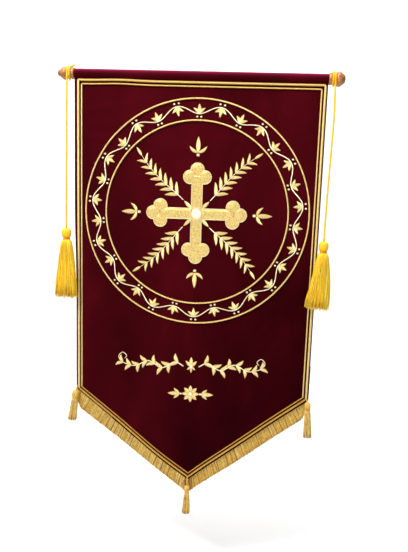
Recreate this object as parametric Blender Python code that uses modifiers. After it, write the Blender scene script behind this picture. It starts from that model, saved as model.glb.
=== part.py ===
"""Church banner: a pointed velvet cloth on a wooden rod, with cords, fringe and tassels.

The origin is on the rod's axis, at its middle. X runs along the rod, the front of the
banner faces -Y, and Z is up. All lengths are in metres.
"""
import math

import bmesh
import bpy
from mathutils import Vector

COLLECTION_NAME = "church_banner"
CUTTER_COLLECTION_NAME = "joined_shapes"

# Clearances between pieces that touch
SEAT = 0.0003
SEWN_GAP = 0.0004
MERGE_DISTANCE = 0.00001

# Cloth
CLOTH_WIDTH = 0.80
HALF_WIDTH = CLOTH_WIDTH / 2
CLOTH_THICKNESS = 0.0022
SIDE_DROP = 1.045
POINT_DROP = 1.3615
POINT_SLOPE = (POINT_DROP - SIDE_DROP) / HALF_WIDTH
SLOPE_ANGLE = math.atan(POINT_SLOPE)
CLOTH_COLUMNS = 20
PANEL_ROWS = 20

# Rod and the sleeve round it
ROD_RADIUS = 0.0125
ROD_SIDES = 24
SLEEVE_RADIUS = ROD_RADIUS + SEAT + CLOTH_THICKNESS / 2
SLEEVE_STEPS = 14
BEND_RADIUS = 0.0036
BEND_STEPS = 2
HEM_EDGE_Z = -0.042
LAYER_Y = (CLOTH_THICKNESS + SEAT) / 2
BEND_REACH = SLEEVE_RADIUS + BEND_RADIUS
BEND_TURN = math.acos((BEND_RADIUS + LAYER_Y) / BEND_REACH)
PANEL_TOP_Z = -BEND_REACH * math.sin(BEND_TURN)

# How the hanging cloth swings out of its plane
FLUTE_DEPTH = 0.003
FLUTE_PITCH = 0.27
FLUTE_SHIFT = 0.03
FLUTES_BEGIN = 0.80
FLUTES_FULL = 1.25
SIDE_BOW = 0.002
BOW_BEGINS = 0.04
BOW_FULL = 0.50

# Sewn cords: distance from the cloth's edge, height of the top run, radius
BORDERS = {
    "border_outer": {"inset": 0.0080, "top": -0.0205, "radius": 0.0042},
    "border_inner": {"inset": 0.0192, "top": -0.0322, "radius": 0.0030},
}
BORDER_CORNER = 0.005
CORNER_ROUNDING = 0.45
RING_CENTRE_X = 0.0023
RING_CENTRE_Z = -0.4313
RINGS = {
    "ring_outer": {"ring_radius": 0.3638, "radius": 0.0030},
    "ring_inner": {"ring_radius": 0.2966, "radius": 0.0030},
}
RING_POINTS = 48

# Cross with budded arms
CROSS_ARM = 0.118
CROSS_HALF_BAR = 0.017
BUD_RADIUS = 0.0215
BUD_OFFSET = 0.0235
BUD_POINTS = 6
CROSS_THICKNESS = 0.0024

# Fringe
FRINGE_STRANDS = 60
FRINGE_DEPTH = 0.036
STRIP_TOP = 0.012
STRIP_BOTTOM = 0.002
STRIP_THICKNESS = 0.0024
STRIP_END_CORNER = 0.394
STRIP_END_POINT = 0.0012
STRAND_HALF_WIDTH = 0.0037
STRAND_TAPER = 0.92
STRAND_FLATTEN = 0.26
LEAN_AT_CORNER = 0.75
LEAN_AT_POINT = 0.38

# Small tassels at the points: the loop's place, the head's top, and the lean to the side
CORNER_TASSELS = {
    "corner_tassel_left": {
        "x": -0.3968, "loop_z": -1.033, "head_z": -1.0562, "length": 0.104, "spread": 0.0140, "lean_deg": 4.5,
    },
    "corner_tassel_right": {
        "x": 0.3968, "loop_z": -1.033, "head_z": -1.0640, "length": 0.111, "spread": 0.0150, "lean_deg": -4.0,
    },
    "corner_tassel_centre": {
        "x": -0.0015, "loop_z": -1.347, "head_z": -1.3815, "length": 0.103, "spread": 0.0125, "lean_deg": 0.0,
    },
}
CORNER_LOOP_RADIUS = 0.002
# A small tassel's head: distance below its top and radius
CORNER_HEAD_PROFILE = [
    (-0.0010, CORNER_LOOP_RADIUS),
    (0.0010, 0.0060),
    (0.0060, 0.0095),
    (0.0140, 0.0100),
    (0.0220, 0.0094),
    (0.0270, 0.0085),
    (0.0340, 0.0083),
    (0.0340, 0.0),
]
CORNER_HEAD_STEPS = 12
CORNER_LOCKS = 12
CORNER_LOCK_TOP = 0.0300
CORNER_LOCK_TOP_RING = 0.0058
CORNER_LOCK_BEND = 0.0510
CORNER_LOCK_BEND_SHARE = 0.74
CORNER_LOCK_INSET = 0.0025
CORNER_SQUEEZE = 0.35

# Finials, turned: distance from the sleeve's end and radius
FINIAL_FOOT = 0.001
FINIAL_PROFILE = [
    (0.0532, 0.0),
    (0.0529, 0.0066),
    (0.0505, 0.0090),
    (0.0475, 0.0099),
    (0.0450, 0.0120),
    (0.0395, 0.0167),
    (0.0345, 0.0202),
    (0.0300, 0.0213),
    (0.0262, 0.0205),
    (0.0228, 0.0184),
    (0.0222, 0.0162),
    (0.0097, 0.0162),
    (0.0093, 0.0177),
    (0.0080, 0.0185),
    (0.0030, 0.0185),
    (FINIAL_FOOT, 0.0174),
    (FINIAL_FOOT, 0.0),
]
FINIAL_STEPS = 20

# Hanging cords: turns on the finial's neck from a short tail, then down to the tassel.
# A tail's points are the distance from the sleeve's end, y and z.
CORD_RADIUS = 0.003
WRAP_RADIUS = 0.0201
WRAP_FIRST = 0.0130
WRAP_SECOND = 0.0193
WRAP_STEP_DEG = 30
WRAP_TURNS_DEG = 540
CROSSING_FROM_DEG = 240
CROSSING_TO_DEG = 320
TASSEL_Y = -0.0300
HANGING = {
    "left": {
        "side": -1, "bow_x": -0.4240, "tassel_x": -0.4205, "tassel_top": -0.492, "tassel_length": 0.225,
        "sway": -0.0020, "wrap_from_deg": 90, "tail": [(0.0050, 0.0150, 0.0300), (0.0095, 0.0085, 0.0240)],
    },
    "right": {
        "side": 1, "bow_x": 0.4215, "tassel_x": 0.4140, "tassel_top": -0.502, "tassel_length": 0.2165,
        "sway": -0.0145, "wrap_from_deg": 0, "tail": [(0.0125, 0.0223, -0.0140), (0.0125, 0.0207, -0.0070)],
    },
}
NECK_LEAVE_Y = -WRAP_RADIUS - 0.0008
NECK_LEAVE_Z = -0.040
NECK_LEAVE_SHARE = 0.35
BOW_Y = -WRAP_RADIUS - 0.0025
BOW_Z = -0.125
DROP_Y = TASSEL_Y + 0.0035
DROP_Z = -0.300
DROP_SHARE = 0.6
FALL_END = 0.050
FALL_END_Y = TASSEL_Y + 0.0002
FALL_STEPS = [4, 8, 6, 3]

# Large tassels: distance below the top and radius of the wound head
HEAD_PROFILE = [
    (0.0000, 0.0),
    (0.0000, 0.0060),
    (0.0015, 0.0108),
    (0.0050, 0.0141),
    (0.0110, 0.0156),
    (0.0185, 0.0155),
    (0.0245, 0.0143),
    (0.0290, 0.0121),
    (0.0315, 0.0105),
    (0.0335, 0.0113),
    (0.0380, 0.0113),
    (0.0400, 0.0102),
    (0.0450, 0.0100),
    (0.0450, 0.0),
]
HEAD_STEPS = 16
# Locks of the skirt: distance below the top and radius of their ring, down to the cut ends
OUTER_LOCKS = 26
OUTER_LOCK_RINGS = [(0.0390, 0.0085), (0.0500, 0.0142), (0.0950, 0.0240)]
OUTER_LOCK_SPREAD = 0.0325
INNER_LOCKS = 12
INNER_LOCK_RINGS = [(0.0420, 0.0045), (0.0900, 0.0130)]
INNER_LOCK_SPREAD = 0.0195
LOCK_FILL = 0.88
SKIRT_FLAT = 0.42
FLAT_FROM = 0.048
FLAT_FULL = 0.130


def clear_scene():
    """Remove what the scene holds before the banner is made."""
    for item in list(bpy.data.objects):
        bpy.data.objects.remove(item, do_unlink=True)


def make_collection(name):
    """A new collection in the scene."""
    group = bpy.data.collections.new(name)
    bpy.context.scene.collection.children.link(group)
    return group


def linear(hex_colour):
    """Linear colour with alpha from a screen colour such as C98B4F."""
    channels = []
    for start in (0, 2, 4):
        value = int(hex_colour[start:start + 2], 16) / 255
        channels.append(value / 12.92 if value <= 0.04045 else ((value + 0.055) / 1.055) ** 2.4)
    return (*channels, 1.0)


def make_material(name, hex_colour, roughness, metallic=0.0):
    """Principled material of one colour."""
    material = bpy.data.materials.new(name)
    material.use_nodes = True
    shader = material.node_tree.nodes["Principled BSDF"]
    shader.inputs["Base Color"].default_value = linear(hex_colour)
    shader.inputs["Roughness"].default_value = roughness
    shader.inputs["Metallic"].default_value = metallic
    return material


def add_object(name, data, material, group):
    """New object for a mesh or a curve, with its material, in a collection."""
    item = bpy.data.objects.new(name, data)
    data.materials.append(material)
    group.objects.link(item)
    return item


def hide_cutter(item):
    """Show a joined shape as wire, because its Boolean shows it already."""
    item.hide_render = True
    item.display_type = "WIRE"


def smooth(mesh, angle_deg=40):
    """Shade a mesh smooth, with hard edges where faces turn sharply."""
    mesh.shade_smooth()
    mesh.set_sharp_from_angle(angle=math.radians(angle_deg))


def ease(low, high, value):
    """Smooth step that is 0 at low and 1 at high."""
    share = min(max((value - low) / (high - low), 0.0), 1.0)
    return share * share * (3.0 - 2.0 * share)


def lower_edge(x):
    """Height of the cloth's pointed lower edge at a place across the width."""
    return -(SIDE_DROP + (HALF_WIDTH - abs(x)) * POINT_SLOPE)


def swing(x, z):
    """Distance that the hanging cloth swings out of its plane, forwards being negative."""
    drop = -z
    flutes = FLUTE_DEPTH * ease(FLUTES_BEGIN, FLUTES_FULL, drop)
    flutes *= math.cos(2 * math.pi * (x - FLUTE_SHIFT) / FLUTE_PITCH)
    bow = SIDE_BOW * ease(BOW_BEGINS, BOW_FULL, drop) * (x / HALF_WIDTH) ** 3
    return flutes + bow


def column_x(column):
    """Place across the width of one column of the cloth's grid."""
    return -HALF_WIDTH + CLOTH_WIDTH * column / CLOTH_COLUMNS


def row_z(x, row):
    """Height of one row of the panel's grid, row 0 being just under the sleeve."""
    return PANEL_TOP_Z + (lower_edge(x) - PANEL_TOP_Z) * row / PANEL_ROWS


def sheet_swing(x, z):
    """Swing of the cloth between its grid points, as its flat faces have it."""
    across = (x + HALF_WIDTH) / CLOTH_WIDTH * CLOTH_COLUMNS
    down = (z - PANEL_TOP_Z) / (lower_edge(x) - PANEL_TOP_Z) * PANEL_ROWS
    column = min(max(int(across), 0), CLOTH_COLUMNS - 1)
    row = min(max(int(down), 0), PANEL_ROWS - 1)
    corners = []
    for step_x, step_z in ((0, 0), (1, 0), (0, 1), (1, 1)):
        corner_x = column_x(column + step_x)
        corners.append(swing(corner_x, row_z(corner_x, row + step_z)))
    share_x = across - column
    share_z = down - row
    upper = corners[0] + (corners[1] - corners[0]) * share_x
    lower = corners[2] + (corners[3] - corners[2]) * share_x
    return upper + (lower - upper) * share_z


def front_y(x, z):
    """Front surface of the cloth."""
    return -LAYER_Y - CLOTH_THICKNESS / 2 + sheet_swing(x, z)


def back_y(x, z):
    """Back surface of the cloth's panel."""
    return -LAYER_Y + CLOTH_THICKNESS / 2 + sheet_swing(x, z)


def sleeve_profile():
    """Side view of hem and sleeve as (y, z), from the hem's edge behind to the panel's top."""
    centre_y = BEND_RADIUS + LAYER_Y
    points = [(LAYER_Y, HEM_EDGE_Z)]
    for step in range(BEND_STEPS):
        angle = math.pi - BEND_TURN * step / BEND_STEPS
        points.append((centre_y + BEND_RADIUS * math.cos(angle), PANEL_TOP_Z + BEND_RADIUS * math.sin(angle)))
    sweep = math.pi + 2 * BEND_TURN
    outside = 1 / math.cos(sweep / SLEEVE_STEPS / 2)
    for step in range(SLEEVE_STEPS + 1):
        angle = -BEND_TURN + sweep * step / SLEEVE_STEPS
        radius = SLEEVE_RADIUS if step in (0, SLEEVE_STEPS) else SLEEVE_RADIUS * outside
        points.append((radius * math.cos(angle), radius * math.sin(angle)))
    for step in range(1, BEND_STEPS + 1):
        angle = BEND_TURN * (1 - step / BEND_STEPS)
        points.append((-centre_y + BEND_RADIUS * math.cos(angle), PANEL_TOP_Z + BEND_RADIUS * math.sin(angle)))
    return points


def make_cloth(material, group):
    """One sheet from the hem behind, over the rod and down to the pointed edge."""
    profile = sleeve_profile()
    rows = len(profile) - 1 + PANEL_ROWS
    grid = bmesh.new()
    bmesh.ops.create_grid(grid, x_segments=CLOTH_COLUMNS, y_segments=rows, size=0.5)
    for vert in grid.verts:
        column = round((vert.co.x + 0.5) * CLOTH_COLUMNS)
        row = round((vert.co.y + 0.5) * rows)
        x = column_x(column)
        if row < len(profile):
            y, z = profile[row]
        else:
            y, z = -LAYER_Y, row_z(x, row - len(profile) + 1)
        vert.co = (x, y + swing(x, z), z)
    mesh = bpy.data.meshes.new("banner_cloth")
    grid.to_mesh(mesh)
    grid.free()
    mesh.shade_smooth()
    cloth = add_object("banner_cloth", mesh, material, group)
    shell = cloth.modifiers.new("thickness", "SOLIDIFY")
    shell.thickness = CLOTH_THICKNESS
    shell.offset = 0
    shell.use_even_offset = True
    return cloth


def tube_data(name, routes, radius, sides_step, closed=False):
    """Curve data with one round poly spline for each route of (point, thickness) pairs."""
    curve = bpy.data.curves.new(name, "CURVE")
    curve.dimensions = "3D"
    curve.bevel_depth = radius
    curve.bevel_resolution = sides_step
    curve.use_fill_caps = True
    for route in routes:
        spline = curve.splines.new("POLY")
        spline.points.add(len(route) - 1)
        for place, (point, thickness) in zip(spline.points, route):
            place.co = (*point, 1.0)
            place.radius = thickness
        spline.use_cyclic_u = closed
    return curve


def rounded_corners(corners, radius):
    """Closed outline with each corner cut back to a short arc of three points."""
    outline = []
    for index, corner in enumerate(corners):
        here = Vector(corner)
        before = (Vector(corners[index - 1]) - here).normalized()
        after = (Vector(corners[(index + 1) % len(corners)]) - here).normalized()
        start = here + before * radius
        end = here + after * radius
        middle = (start + end) / 2 * (1 - CORNER_ROUNDING) + here * CORNER_ROUNDING
        outline.append((start, middle, end))
    return outline


def border_points(inset, top):
    """Route of a sewn border on the panel as (x, z), with points on the cloth's grid lines."""
    edge_x = HALF_WIDTH - inset
    rise = inset / math.cos(SLOPE_ANGLE)
    corner_z = lower_edge(edge_x) + rise
    point_z = lower_edge(0) + rise
    corners = [(-edge_x, top), (edge_x, top), (edge_x, corner_z), (0, point_z), (-edge_x, corner_z)]
    bends = rounded_corners(corners, BORDER_CORNER)
    columns = [column_x(column) for column in range(CLOTH_COLUMNS + 1)]
    inner = [x for x in columns if abs(x) < edge_x - 2 * BORDER_CORNER]
    sides = [row_z(edge_x, row) for row in range(PANEL_ROWS)]
    sides = [z for z in sides if corner_z + 2 * BORDER_CORNER < z < top - 2 * BORDER_CORNER]
    right_slope = [x for x in reversed(inner) if x > BORDER_CORNER]
    left_slope = [x for x in reversed(inner) if x < -BORDER_CORNER]
    runs = [
        [(x, top) for x in inner],
        [(edge_x, z) for z in sides],
        [(x, lower_edge(x) + rise) for x in right_slope],
        [(x, lower_edge(x) + rise) for x in left_slope],
        [(-edge_x, z) for z in reversed(sides)],
    ]
    route = []
    for bend, run in zip(bends, runs):
        route.extend((point.x, point.y) for point in bend)
        route.extend(run)
    return route


def sewn_cord(name, route, radius, material, group):
    """Closed round cord lying on the front of the cloth."""
    seated = []
    for x, z in route:
        y = front_y(x, z) - SEWN_GAP - radius
        seated.append(((x, y, z), 1.0))
    return add_object(name, tube_data(name, [seated], radius, 1, closed=True), material, group)


def make_borders(material, group):
    """The two cords round the panel."""
    for name, size in BORDERS.items():
        sewn_cord(name, border_points(size["inset"], size["top"]), size["radius"], material, group)


def make_rings(material, group):
    """The two rings in the middle of the panel."""
    for name, size in RINGS.items():
        route = []
        for step in range(RING_POINTS):
            angle = 2 * math.pi * step / RING_POINTS
            x = RING_CENTRE_X + size["ring_radius"] * math.cos(angle)
            z = RING_CENTRE_Z + size["ring_radius"] * math.sin(angle)
            route.append((x, z))
        sewn_cord(name, route, size["radius"], material, group)


def arc(centre, radius, start, end, steps):
    """Points on a circle's arc, both ends included."""
    points = []
    for step in range(steps + 1):
        angle = start + (end - start) * step / steps
        points.append((centre[0] + radius * math.cos(angle), centre[1] + radius * math.sin(angle)))
    return points


def arm_outline():
    """One arm of the cross, pointing up, from its right inner corner round to the left side."""
    meet = (BUD_OFFSET + math.sqrt(2 * BUD_RADIUS ** 2 - BUD_OFFSET ** 2)) / 2
    side = CROSS_HALF_BAR - BUD_OFFSET
    root = math.sqrt(BUD_RADIUS ** 2 - side ** 2)
    side_start = math.atan2(-root, side)
    side_end = math.atan2(meet, meet - BUD_OFFSET)
    top_start = math.atan2(meet - BUD_OFFSET, meet)
    right = arc((BUD_OFFSET, CROSS_ARM), BUD_RADIUS, side_start, side_end, BUD_POINTS)
    top = arc((0, CROSS_ARM + BUD_OFFSET), BUD_RADIUS, top_start, math.pi - top_start, BUD_POINTS)
    left = [(-x, z) for x, z in reversed(right)]
    return [(CROSS_HALF_BAR, CROSS_HALF_BAR)] + right + top[1:-1] + left


def make_cross(material, group):
    """Flat padded cross, its outline turned four times round the middle."""
    outline = []
    for quarter in range(4):
        turn = quarter * math.pi / 2
        for x, z in arm_outline():
            outline.append((x * math.cos(turn) - z * math.sin(turn), x * math.sin(turn) + z * math.cos(turn)))
    curve = bpy.data.curves.new("cross", "CURVE")
    curve.dimensions = "2D"
    curve.fill_mode = "BOTH"
    curve.extrude = CROSS_THICKNESS / 2
    spline = curve.splines.new("POLY")
    spline.points.add(len(outline) - 1)
    for place, (x, z) in zip(spline.points, outline):
        place.co = (x, z, 0, 1)
    spline.use_cyclic_u = True
    cross = add_object("cross", curve, material, group)
    y = front_y(RING_CENTRE_X, RING_CENTRE_Z) - SEWN_GAP - SEAT - CROSS_THICKNESS / 2
    cross.location = (RING_CENTRE_X, y, RING_CENTRE_Z)
    cross.rotation_euler = (math.pi / 2, 0, 0)
    return cross


def turned(name, profile, steps, material, group):
    """Solid turned round its own Z axis from (height, radius) pairs, listed top to bottom."""
    mesh = bpy.data.meshes.new(name)
    verts = [(radius, 0, height) for height, radius in profile]
    edges = [(index, index + 1) for index in range(len(verts) - 1)]
    mesh.from_pydata(verts, edges, [])
    item = add_object(name, mesh, material, group)
    screw = item.modifiers.new("turn", "SCREW")
    screw.axis = "Z"
    screw.steps = steps
    screw.render_steps = steps
    screw.use_smooth_shade = True
    screw.use_merge_vertices = True
    screw.merge_threshold = MERGE_DISTANCE
    return item


def make_rod(material, group):
    """Plain dowel inside the sleeve."""
    length = CLOTH_WIDTH + 2 * (FINIAL_FOOT - SEAT)
    bpy.ops.mesh.primitive_cylinder_add(
        vertices=ROD_SIDES, radius=ROD_RADIUS, depth=length, rotation=(0, math.pi / 2, 0)
    )
    rod = bpy.context.object
    rod.name = "rod"
    rod.data.name = "rod"
    for collection in list(rod.users_collection):
        collection.objects.unlink(rod)
    group.objects.link(rod)
    rod.data.materials.append(material)
    smooth(rod.data)
    return rod


def make_finials(material, group):
    """One turned knob on each end of the rod."""
    for name, side in (("finial_left", -1), ("finial_right", 1)):
        finial = turned(name, FINIAL_PROFILE, FINIAL_STEPS, material, group)
        finial.rotation_euler = (0, side * math.pi / 2, 0)
        finial.location = (side * HALF_WIDTH, 0, 0)


def weld_to_mesh(curve_object, group):
    """Mesh object in the place of a curve object, its caps joined to its sides."""
    shape = curve_object.evaluated_get(bpy.context.evaluated_depsgraph_get())
    mesh = bpy.data.meshes.new_from_object(shape)
    welder = bmesh.new()
    welder.from_mesh(mesh)
    bmesh.ops.remove_doubles(welder, verts=welder.verts, dist=MERGE_DISTANCE)
    bmesh.ops.recalc_face_normals(welder, faces=welder.faces)
    welder.to_mesh(mesh)
    welder.free()
    name = curve_object.name
    welded = bpy.data.objects.new(name, mesh)
    welded.matrix_world = curve_object.matrix_world
    group.objects.link(welded)
    bpy.data.objects.remove(curve_object, do_unlink=True)
    welded.name = name
    return welded


def strands_mesh(name, routes, material, cutters):
    """Four-sided strands, of the radius that each point gives, as one mesh."""
    curve_object = add_object(name, tube_data(name, routes, 1.0, 0), material, cutters)
    bpy.context.view_layer.update()
    strands = weld_to_mesh(curve_object, cutters)
    hide_cutter(strands)
    return strands


def join_strands(backing, strands):
    """Fuse the strands' roots into their backing."""
    union = backing.modifiers.new("strands", "BOOLEAN")
    union.operation = "UNION"
    union.solver = "EXACT"
    union.object = strands


def strip_y(x, z):
    """Middle of the fringe's woven strip, just behind the cloth."""
    return back_y(x, max(z, lower_edge(x))) + SEWN_GAP + STRIP_THICKNESS / 2


def make_strip(name, side, material, group):
    """Woven strip that carries the fringe, behind one slanted edge."""
    columns = [column_x(column) for column in range(CLOTH_COLUMNS // 2 + 1, CLOTH_COLUMNS)]
    places = [STRIP_END_POINT] + columns + [STRIP_END_CORNER]
    steps = len(places) - 1
    grid = bmesh.new()
    bmesh.ops.create_grid(grid, x_segments=steps, y_segments=1, size=0.5)
    for vert in grid.verts:
        x = side * places[round((vert.co.x + 0.5) * steps)]
        inset = STRIP_TOP if vert.co.y > 0 else STRIP_BOTTOM
        z = lower_edge(x) + inset / math.cos(SLOPE_ANGLE)
        vert.co = (x, strip_y(x, z), z)
    bmesh.ops.recalc_face_normals(grid, faces=grid.faces)
    mesh = bpy.data.meshes.new(name)
    grid.to_mesh(mesh)
    grid.free()
    strip = add_object(name, mesh, material, group)
    shell = strip.modifiers.new("thickness", "SOLIDIFY")
    shell.thickness = STRIP_THICKNESS
    shell.offset = 0
    return strip


def fringe_routes(side):
    """Straight strands from inside the strip, leaning between upright and square to the edge."""
    routes = []
    root_inset = (STRIP_TOP + STRIP_BOTTOM) / 2
    for index in range(FRINGE_STRANDS):
        share = (index + 0.5) / FRINGE_STRANDS
        x = STRIP_END_POINT + (STRIP_END_CORNER - STRIP_END_POINT) * share
        lean = SLOPE_ANGLE * (LEAN_AT_POINT + (LEAN_AT_CORNER - LEAN_AT_POINT) * share)
        length = (FRINGE_DEPTH + root_inset) / math.cos(SLOPE_ANGLE - lean)
        root_z = lower_edge(x) + root_inset / math.cos(SLOPE_ANGLE)
        tip = (side * (x + length * math.sin(lean)), 0, root_z - length * math.cos(lean))
        root = (side * x, 0, root_z)
        routes.append([(root, STRAND_HALF_WIDTH), (tip, STRAND_HALF_WIDTH * STRAND_TAPER)])
    return routes


def make_fringe(name, side, material, group, cutters):
    """Strip and strands of one slanted edge."""
    strip = make_strip(name, side, material, group)
    strands = strands_mesh(name + "_strands", fringe_routes(side), material, cutters)
    for vert in strands.data.vertices:
        x = min(max(vert.co.x, -HALF_WIDTH), HALF_WIDTH)
        vert.co.y = vert.co.y * STRAND_FLATTEN + strip_y(x, vert.co.z)
    join_strands(strip, strands)


def skirt_routes(count, sections, turn):
    """Locks set evenly round the axis, each through (height, ring radius) sections.

    A lock's own radius is a share of half the space between two locks on their ring.
    """
    routes = []
    fill = LOCK_FILL * math.sin(math.pi / count)
    for index in range(count):
        angle = 2 * math.pi * (index + turn) / count
        route = []
        for height, ring_radius in sections:
            point = (ring_radius * math.cos(angle), ring_radius * math.sin(angle), height)
            route.append((point, ring_radius * fill))
        routes.append(route)
    return routes


def make_corner_tassel(name, place, material, group, cutters):
    """Small tassel with its hanging loop, in front of a point of the cloth."""
    head = place["head_z"] - place["loop_z"]
    loop = [(0.0, 0.0), (0.0, CORNER_LOOP_RADIUS)]
    profile = loop + [(head - drop, radius) for drop, radius in CORNER_HEAD_PROFILE]
    tassel = turned(name, profile, CORNER_HEAD_STEPS, material, group)
    bottom = head - place["length"]
    sections = [
        (head - CORNER_LOCK_TOP, CORNER_LOCK_TOP_RING),
        (head - CORNER_LOCK_BEND, place["spread"] * CORNER_LOCK_BEND_SHARE),
        (bottom, place["spread"] - CORNER_LOCK_INSET),
    ]
    strands = strands_mesh(name + "_locks", skirt_routes(CORNER_LOCKS, sections, 0.5), material, cutters)
    for vert in strands.data.vertices:
        vert.co.y *= 1.0 - CORNER_SQUEEZE * ease(CORNER_LOCK_BEND - head, -bottom, -vert.co.z)
    border = BORDERS["border_outer"]
    border_x = math.copysign(HALF_WIDTH - border["inset"], place["x"]) if place["lean_deg"] else 0.0
    border_y = front_y(border_x, place["loop_z"]) - SEWN_GAP - border["radius"]
    touch = border["radius"] + SEAT + CORNER_LOOP_RADIUS
    y = border_y - math.sqrt(touch ** 2 - (place["x"] - border_x) ** 2)
    tassel.location = (place["x"], y, place["loop_z"])
    tassel.rotation_euler = (0, math.radians(place["lean_deg"]), 0)
    strands.rotation_euler = tassel.rotation_euler
    strands.location = tassel.location
    join_strands(tassel, strands)


def smooth_route(points, steps):
    """Smooth curve through the points, with a number of steps for each stretch between two."""
    places = [Vector(point) for point in points]
    ends = [places[0] * 2 - places[1]] + places + [places[-1] * 2 - places[-2]]
    route = []
    for index, count in enumerate(steps):
        before, start, end, after = ends[index:index + 4]
        for step in range(count):
            share = step / count
            point = (
                start * 2
                + (end - before) * share
                + (before * 2 - start * 5 + end * 4 - after) * share ** 2
                + (start * 3 - before - end * 3 + after) * share ** 3
            ) / 2
            route.append(point)
    route.append(places[-1])
    return route


def wrap_x(angle_deg):
    """Distance from the sleeve's end along the neck, changing over once under the rod."""
    return WRAP_FIRST + (WRAP_SECOND - WRAP_FIRST) * ease(CROSSING_FROM_DEG, CROSSING_TO_DEG, angle_deg)


def cord_route(hang):
    """Centre line of a hanging cord: its tail, turns on the neck, then the fall to the tassel."""
    side = hang["side"]
    points = [(side * (HALF_WIDTH + reach), y, z) for reach, y, z in hang["tail"]]
    steps = [1] * len(points)
    for angle_deg in range(hang["wrap_from_deg"], WRAP_TURNS_DEG + 1, WRAP_STEP_DEG):
        angle = math.radians(angle_deg)
        x = side * (HALF_WIDTH + wrap_x(angle_deg))
        points.append((x, WRAP_RADIUS * math.cos(angle), WRAP_RADIUS * math.sin(angle)))
        steps.append(1)
    top = hang["tassel_top"] + SEAT
    neck_x = side * (HALF_WIDTH + WRAP_SECOND)
    points.append((neck_x + (hang["bow_x"] - neck_x) * NECK_LEAVE_SHARE, NECK_LEAVE_Y, NECK_LEAVE_Z))
    points.append((hang["bow_x"], BOW_Y, BOW_Z))
    points.append((hang["bow_x"] + (hang["tassel_x"] - hang["bow_x"]) * DROP_SHARE, DROP_Y, DROP_Z))
    points.append((hang["tassel_x"], FALL_END_Y, top + FALL_END))
    points.append((hang["tassel_x"], TASSEL_Y, top))
    return smooth_route(points, steps + FALL_STEPS)


def make_cord(name, hang, material, group):
    """Round cord along its route."""
    route = [(point, 1.0) for point in cord_route(hang)]
    return add_object(name, tube_data(name, [route], CORD_RADIUS, 2), material, group)


def make_tassel(name, hang, material, group, cutters):
    """Large tassel: wound head and a skirt of locks, flatter from front to back."""
    profile = [(-drop, radius) for drop, radius in HEAD_PROFILE]
    tassel = turned(name, profile, HEAD_STEPS, material, group)
    length = hang["tassel_length"]
    outer = [(-drop, ring) for drop, ring in OUTER_LOCK_RINGS + [(length, OUTER_LOCK_SPREAD)]]
    inner = [(-drop, ring) for drop, ring in INNER_LOCK_RINGS + [(length, INNER_LOCK_SPREAD)]]
    routes = skirt_routes(OUTER_LOCKS, outer, 0.0) + skirt_routes(INNER_LOCKS, inner, 0.5)
    strands = strands_mesh(name + "_locks", routes, material, cutters)
    for vert in strands.data.vertices:
        vert.co.y *= 1.0 - (1.0 - SKIRT_FLAT) * ease(FLAT_FROM, FLAT_FULL, -vert.co.z)
        vert.co.x += hang["sway"] * (vert.co.z / length) ** 2
    tassel.location = (hang["tassel_x"], TASSEL_Y, hang["tassel_top"])
    strands.location = tassel.location
    join_strands(tassel, strands)


def make_banner():
    """Build every piece of the banner."""
    clear_scene()
    group = make_collection(COLLECTION_NAME)
    cutters = make_collection(CUTTER_COLLECTION_NAME)

    velvet = make_material("burgundy_velvet", "4A0814", 0.85)
    gold_thread = make_material("gold_thread", "D9BC68", 0.45, 0.35)
    fringe_gold = make_material("fringe_gold", "C9A23F", 0.45, 0.4)
    yellow_cord = make_material("yellow_rayon", "F0BB24", 0.5)
    wood = make_material("turned_wood", "C98B4F", 0.45)

    make_rod(wood, group)
    make_finials(wood, group)
    make_cloth(velvet, group)
    make_borders(gold_thread, group)
    make_rings(gold_thread, group)
    make_cross(gold_thread, group)
    make_fringe("fringe_left", -1, fringe_gold, group, cutters)
    make_fringe("fringe_right", 1, fringe_gold, group, cutters)
    for name, place in CORNER_TASSELS.items():
        make_corner_tassel(name, place, fringe_gold, group, cutters)
    for side_name, hang in HANGING.items():
        make_cord("cord_" + side_name, hang, yellow_cord, group)
        make_tassel("tassel_" + side_name, hang, yellow_cord, group, cutters)


make_banner()
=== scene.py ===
"""Looks of a church banner hung on a wooden rod.

Metres. The origin is on the rod's axis at its middle, X runs along the rod, the front of the
banner faces -Y and Z is up. Each section makes one piece, or a group of like pieces.
"""
import math

import bpy
import numpy as np
from mathutils import Matrix, Vector


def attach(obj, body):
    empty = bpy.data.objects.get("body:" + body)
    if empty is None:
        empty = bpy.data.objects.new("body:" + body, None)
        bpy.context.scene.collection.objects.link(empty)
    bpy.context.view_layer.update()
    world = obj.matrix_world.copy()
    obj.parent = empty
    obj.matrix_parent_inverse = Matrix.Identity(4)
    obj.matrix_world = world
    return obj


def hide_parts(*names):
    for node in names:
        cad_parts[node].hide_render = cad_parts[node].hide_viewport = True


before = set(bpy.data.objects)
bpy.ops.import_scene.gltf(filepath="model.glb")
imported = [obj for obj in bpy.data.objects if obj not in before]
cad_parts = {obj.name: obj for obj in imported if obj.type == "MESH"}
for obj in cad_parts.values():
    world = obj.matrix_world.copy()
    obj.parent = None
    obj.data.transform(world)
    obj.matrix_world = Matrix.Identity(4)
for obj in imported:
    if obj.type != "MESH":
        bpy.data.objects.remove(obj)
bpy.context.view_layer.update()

# Camera
# It stands a little right of the middle and looks slightly down at the banner. Its place,
# turns and focal length were solved from the border's corners, the rings and the finials.
CAMERA_PLACE = Vector((0.1772, -2.0136, -0.2857))
CAMERA_TURN_DEG = 4.46
CAMERA_TILT_DEG = -9.67
CAMERA_ROLL_DEG = -2.60
FOCAL_PX = 618.7
PHOTO_HEIGHT_PX = 552

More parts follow.
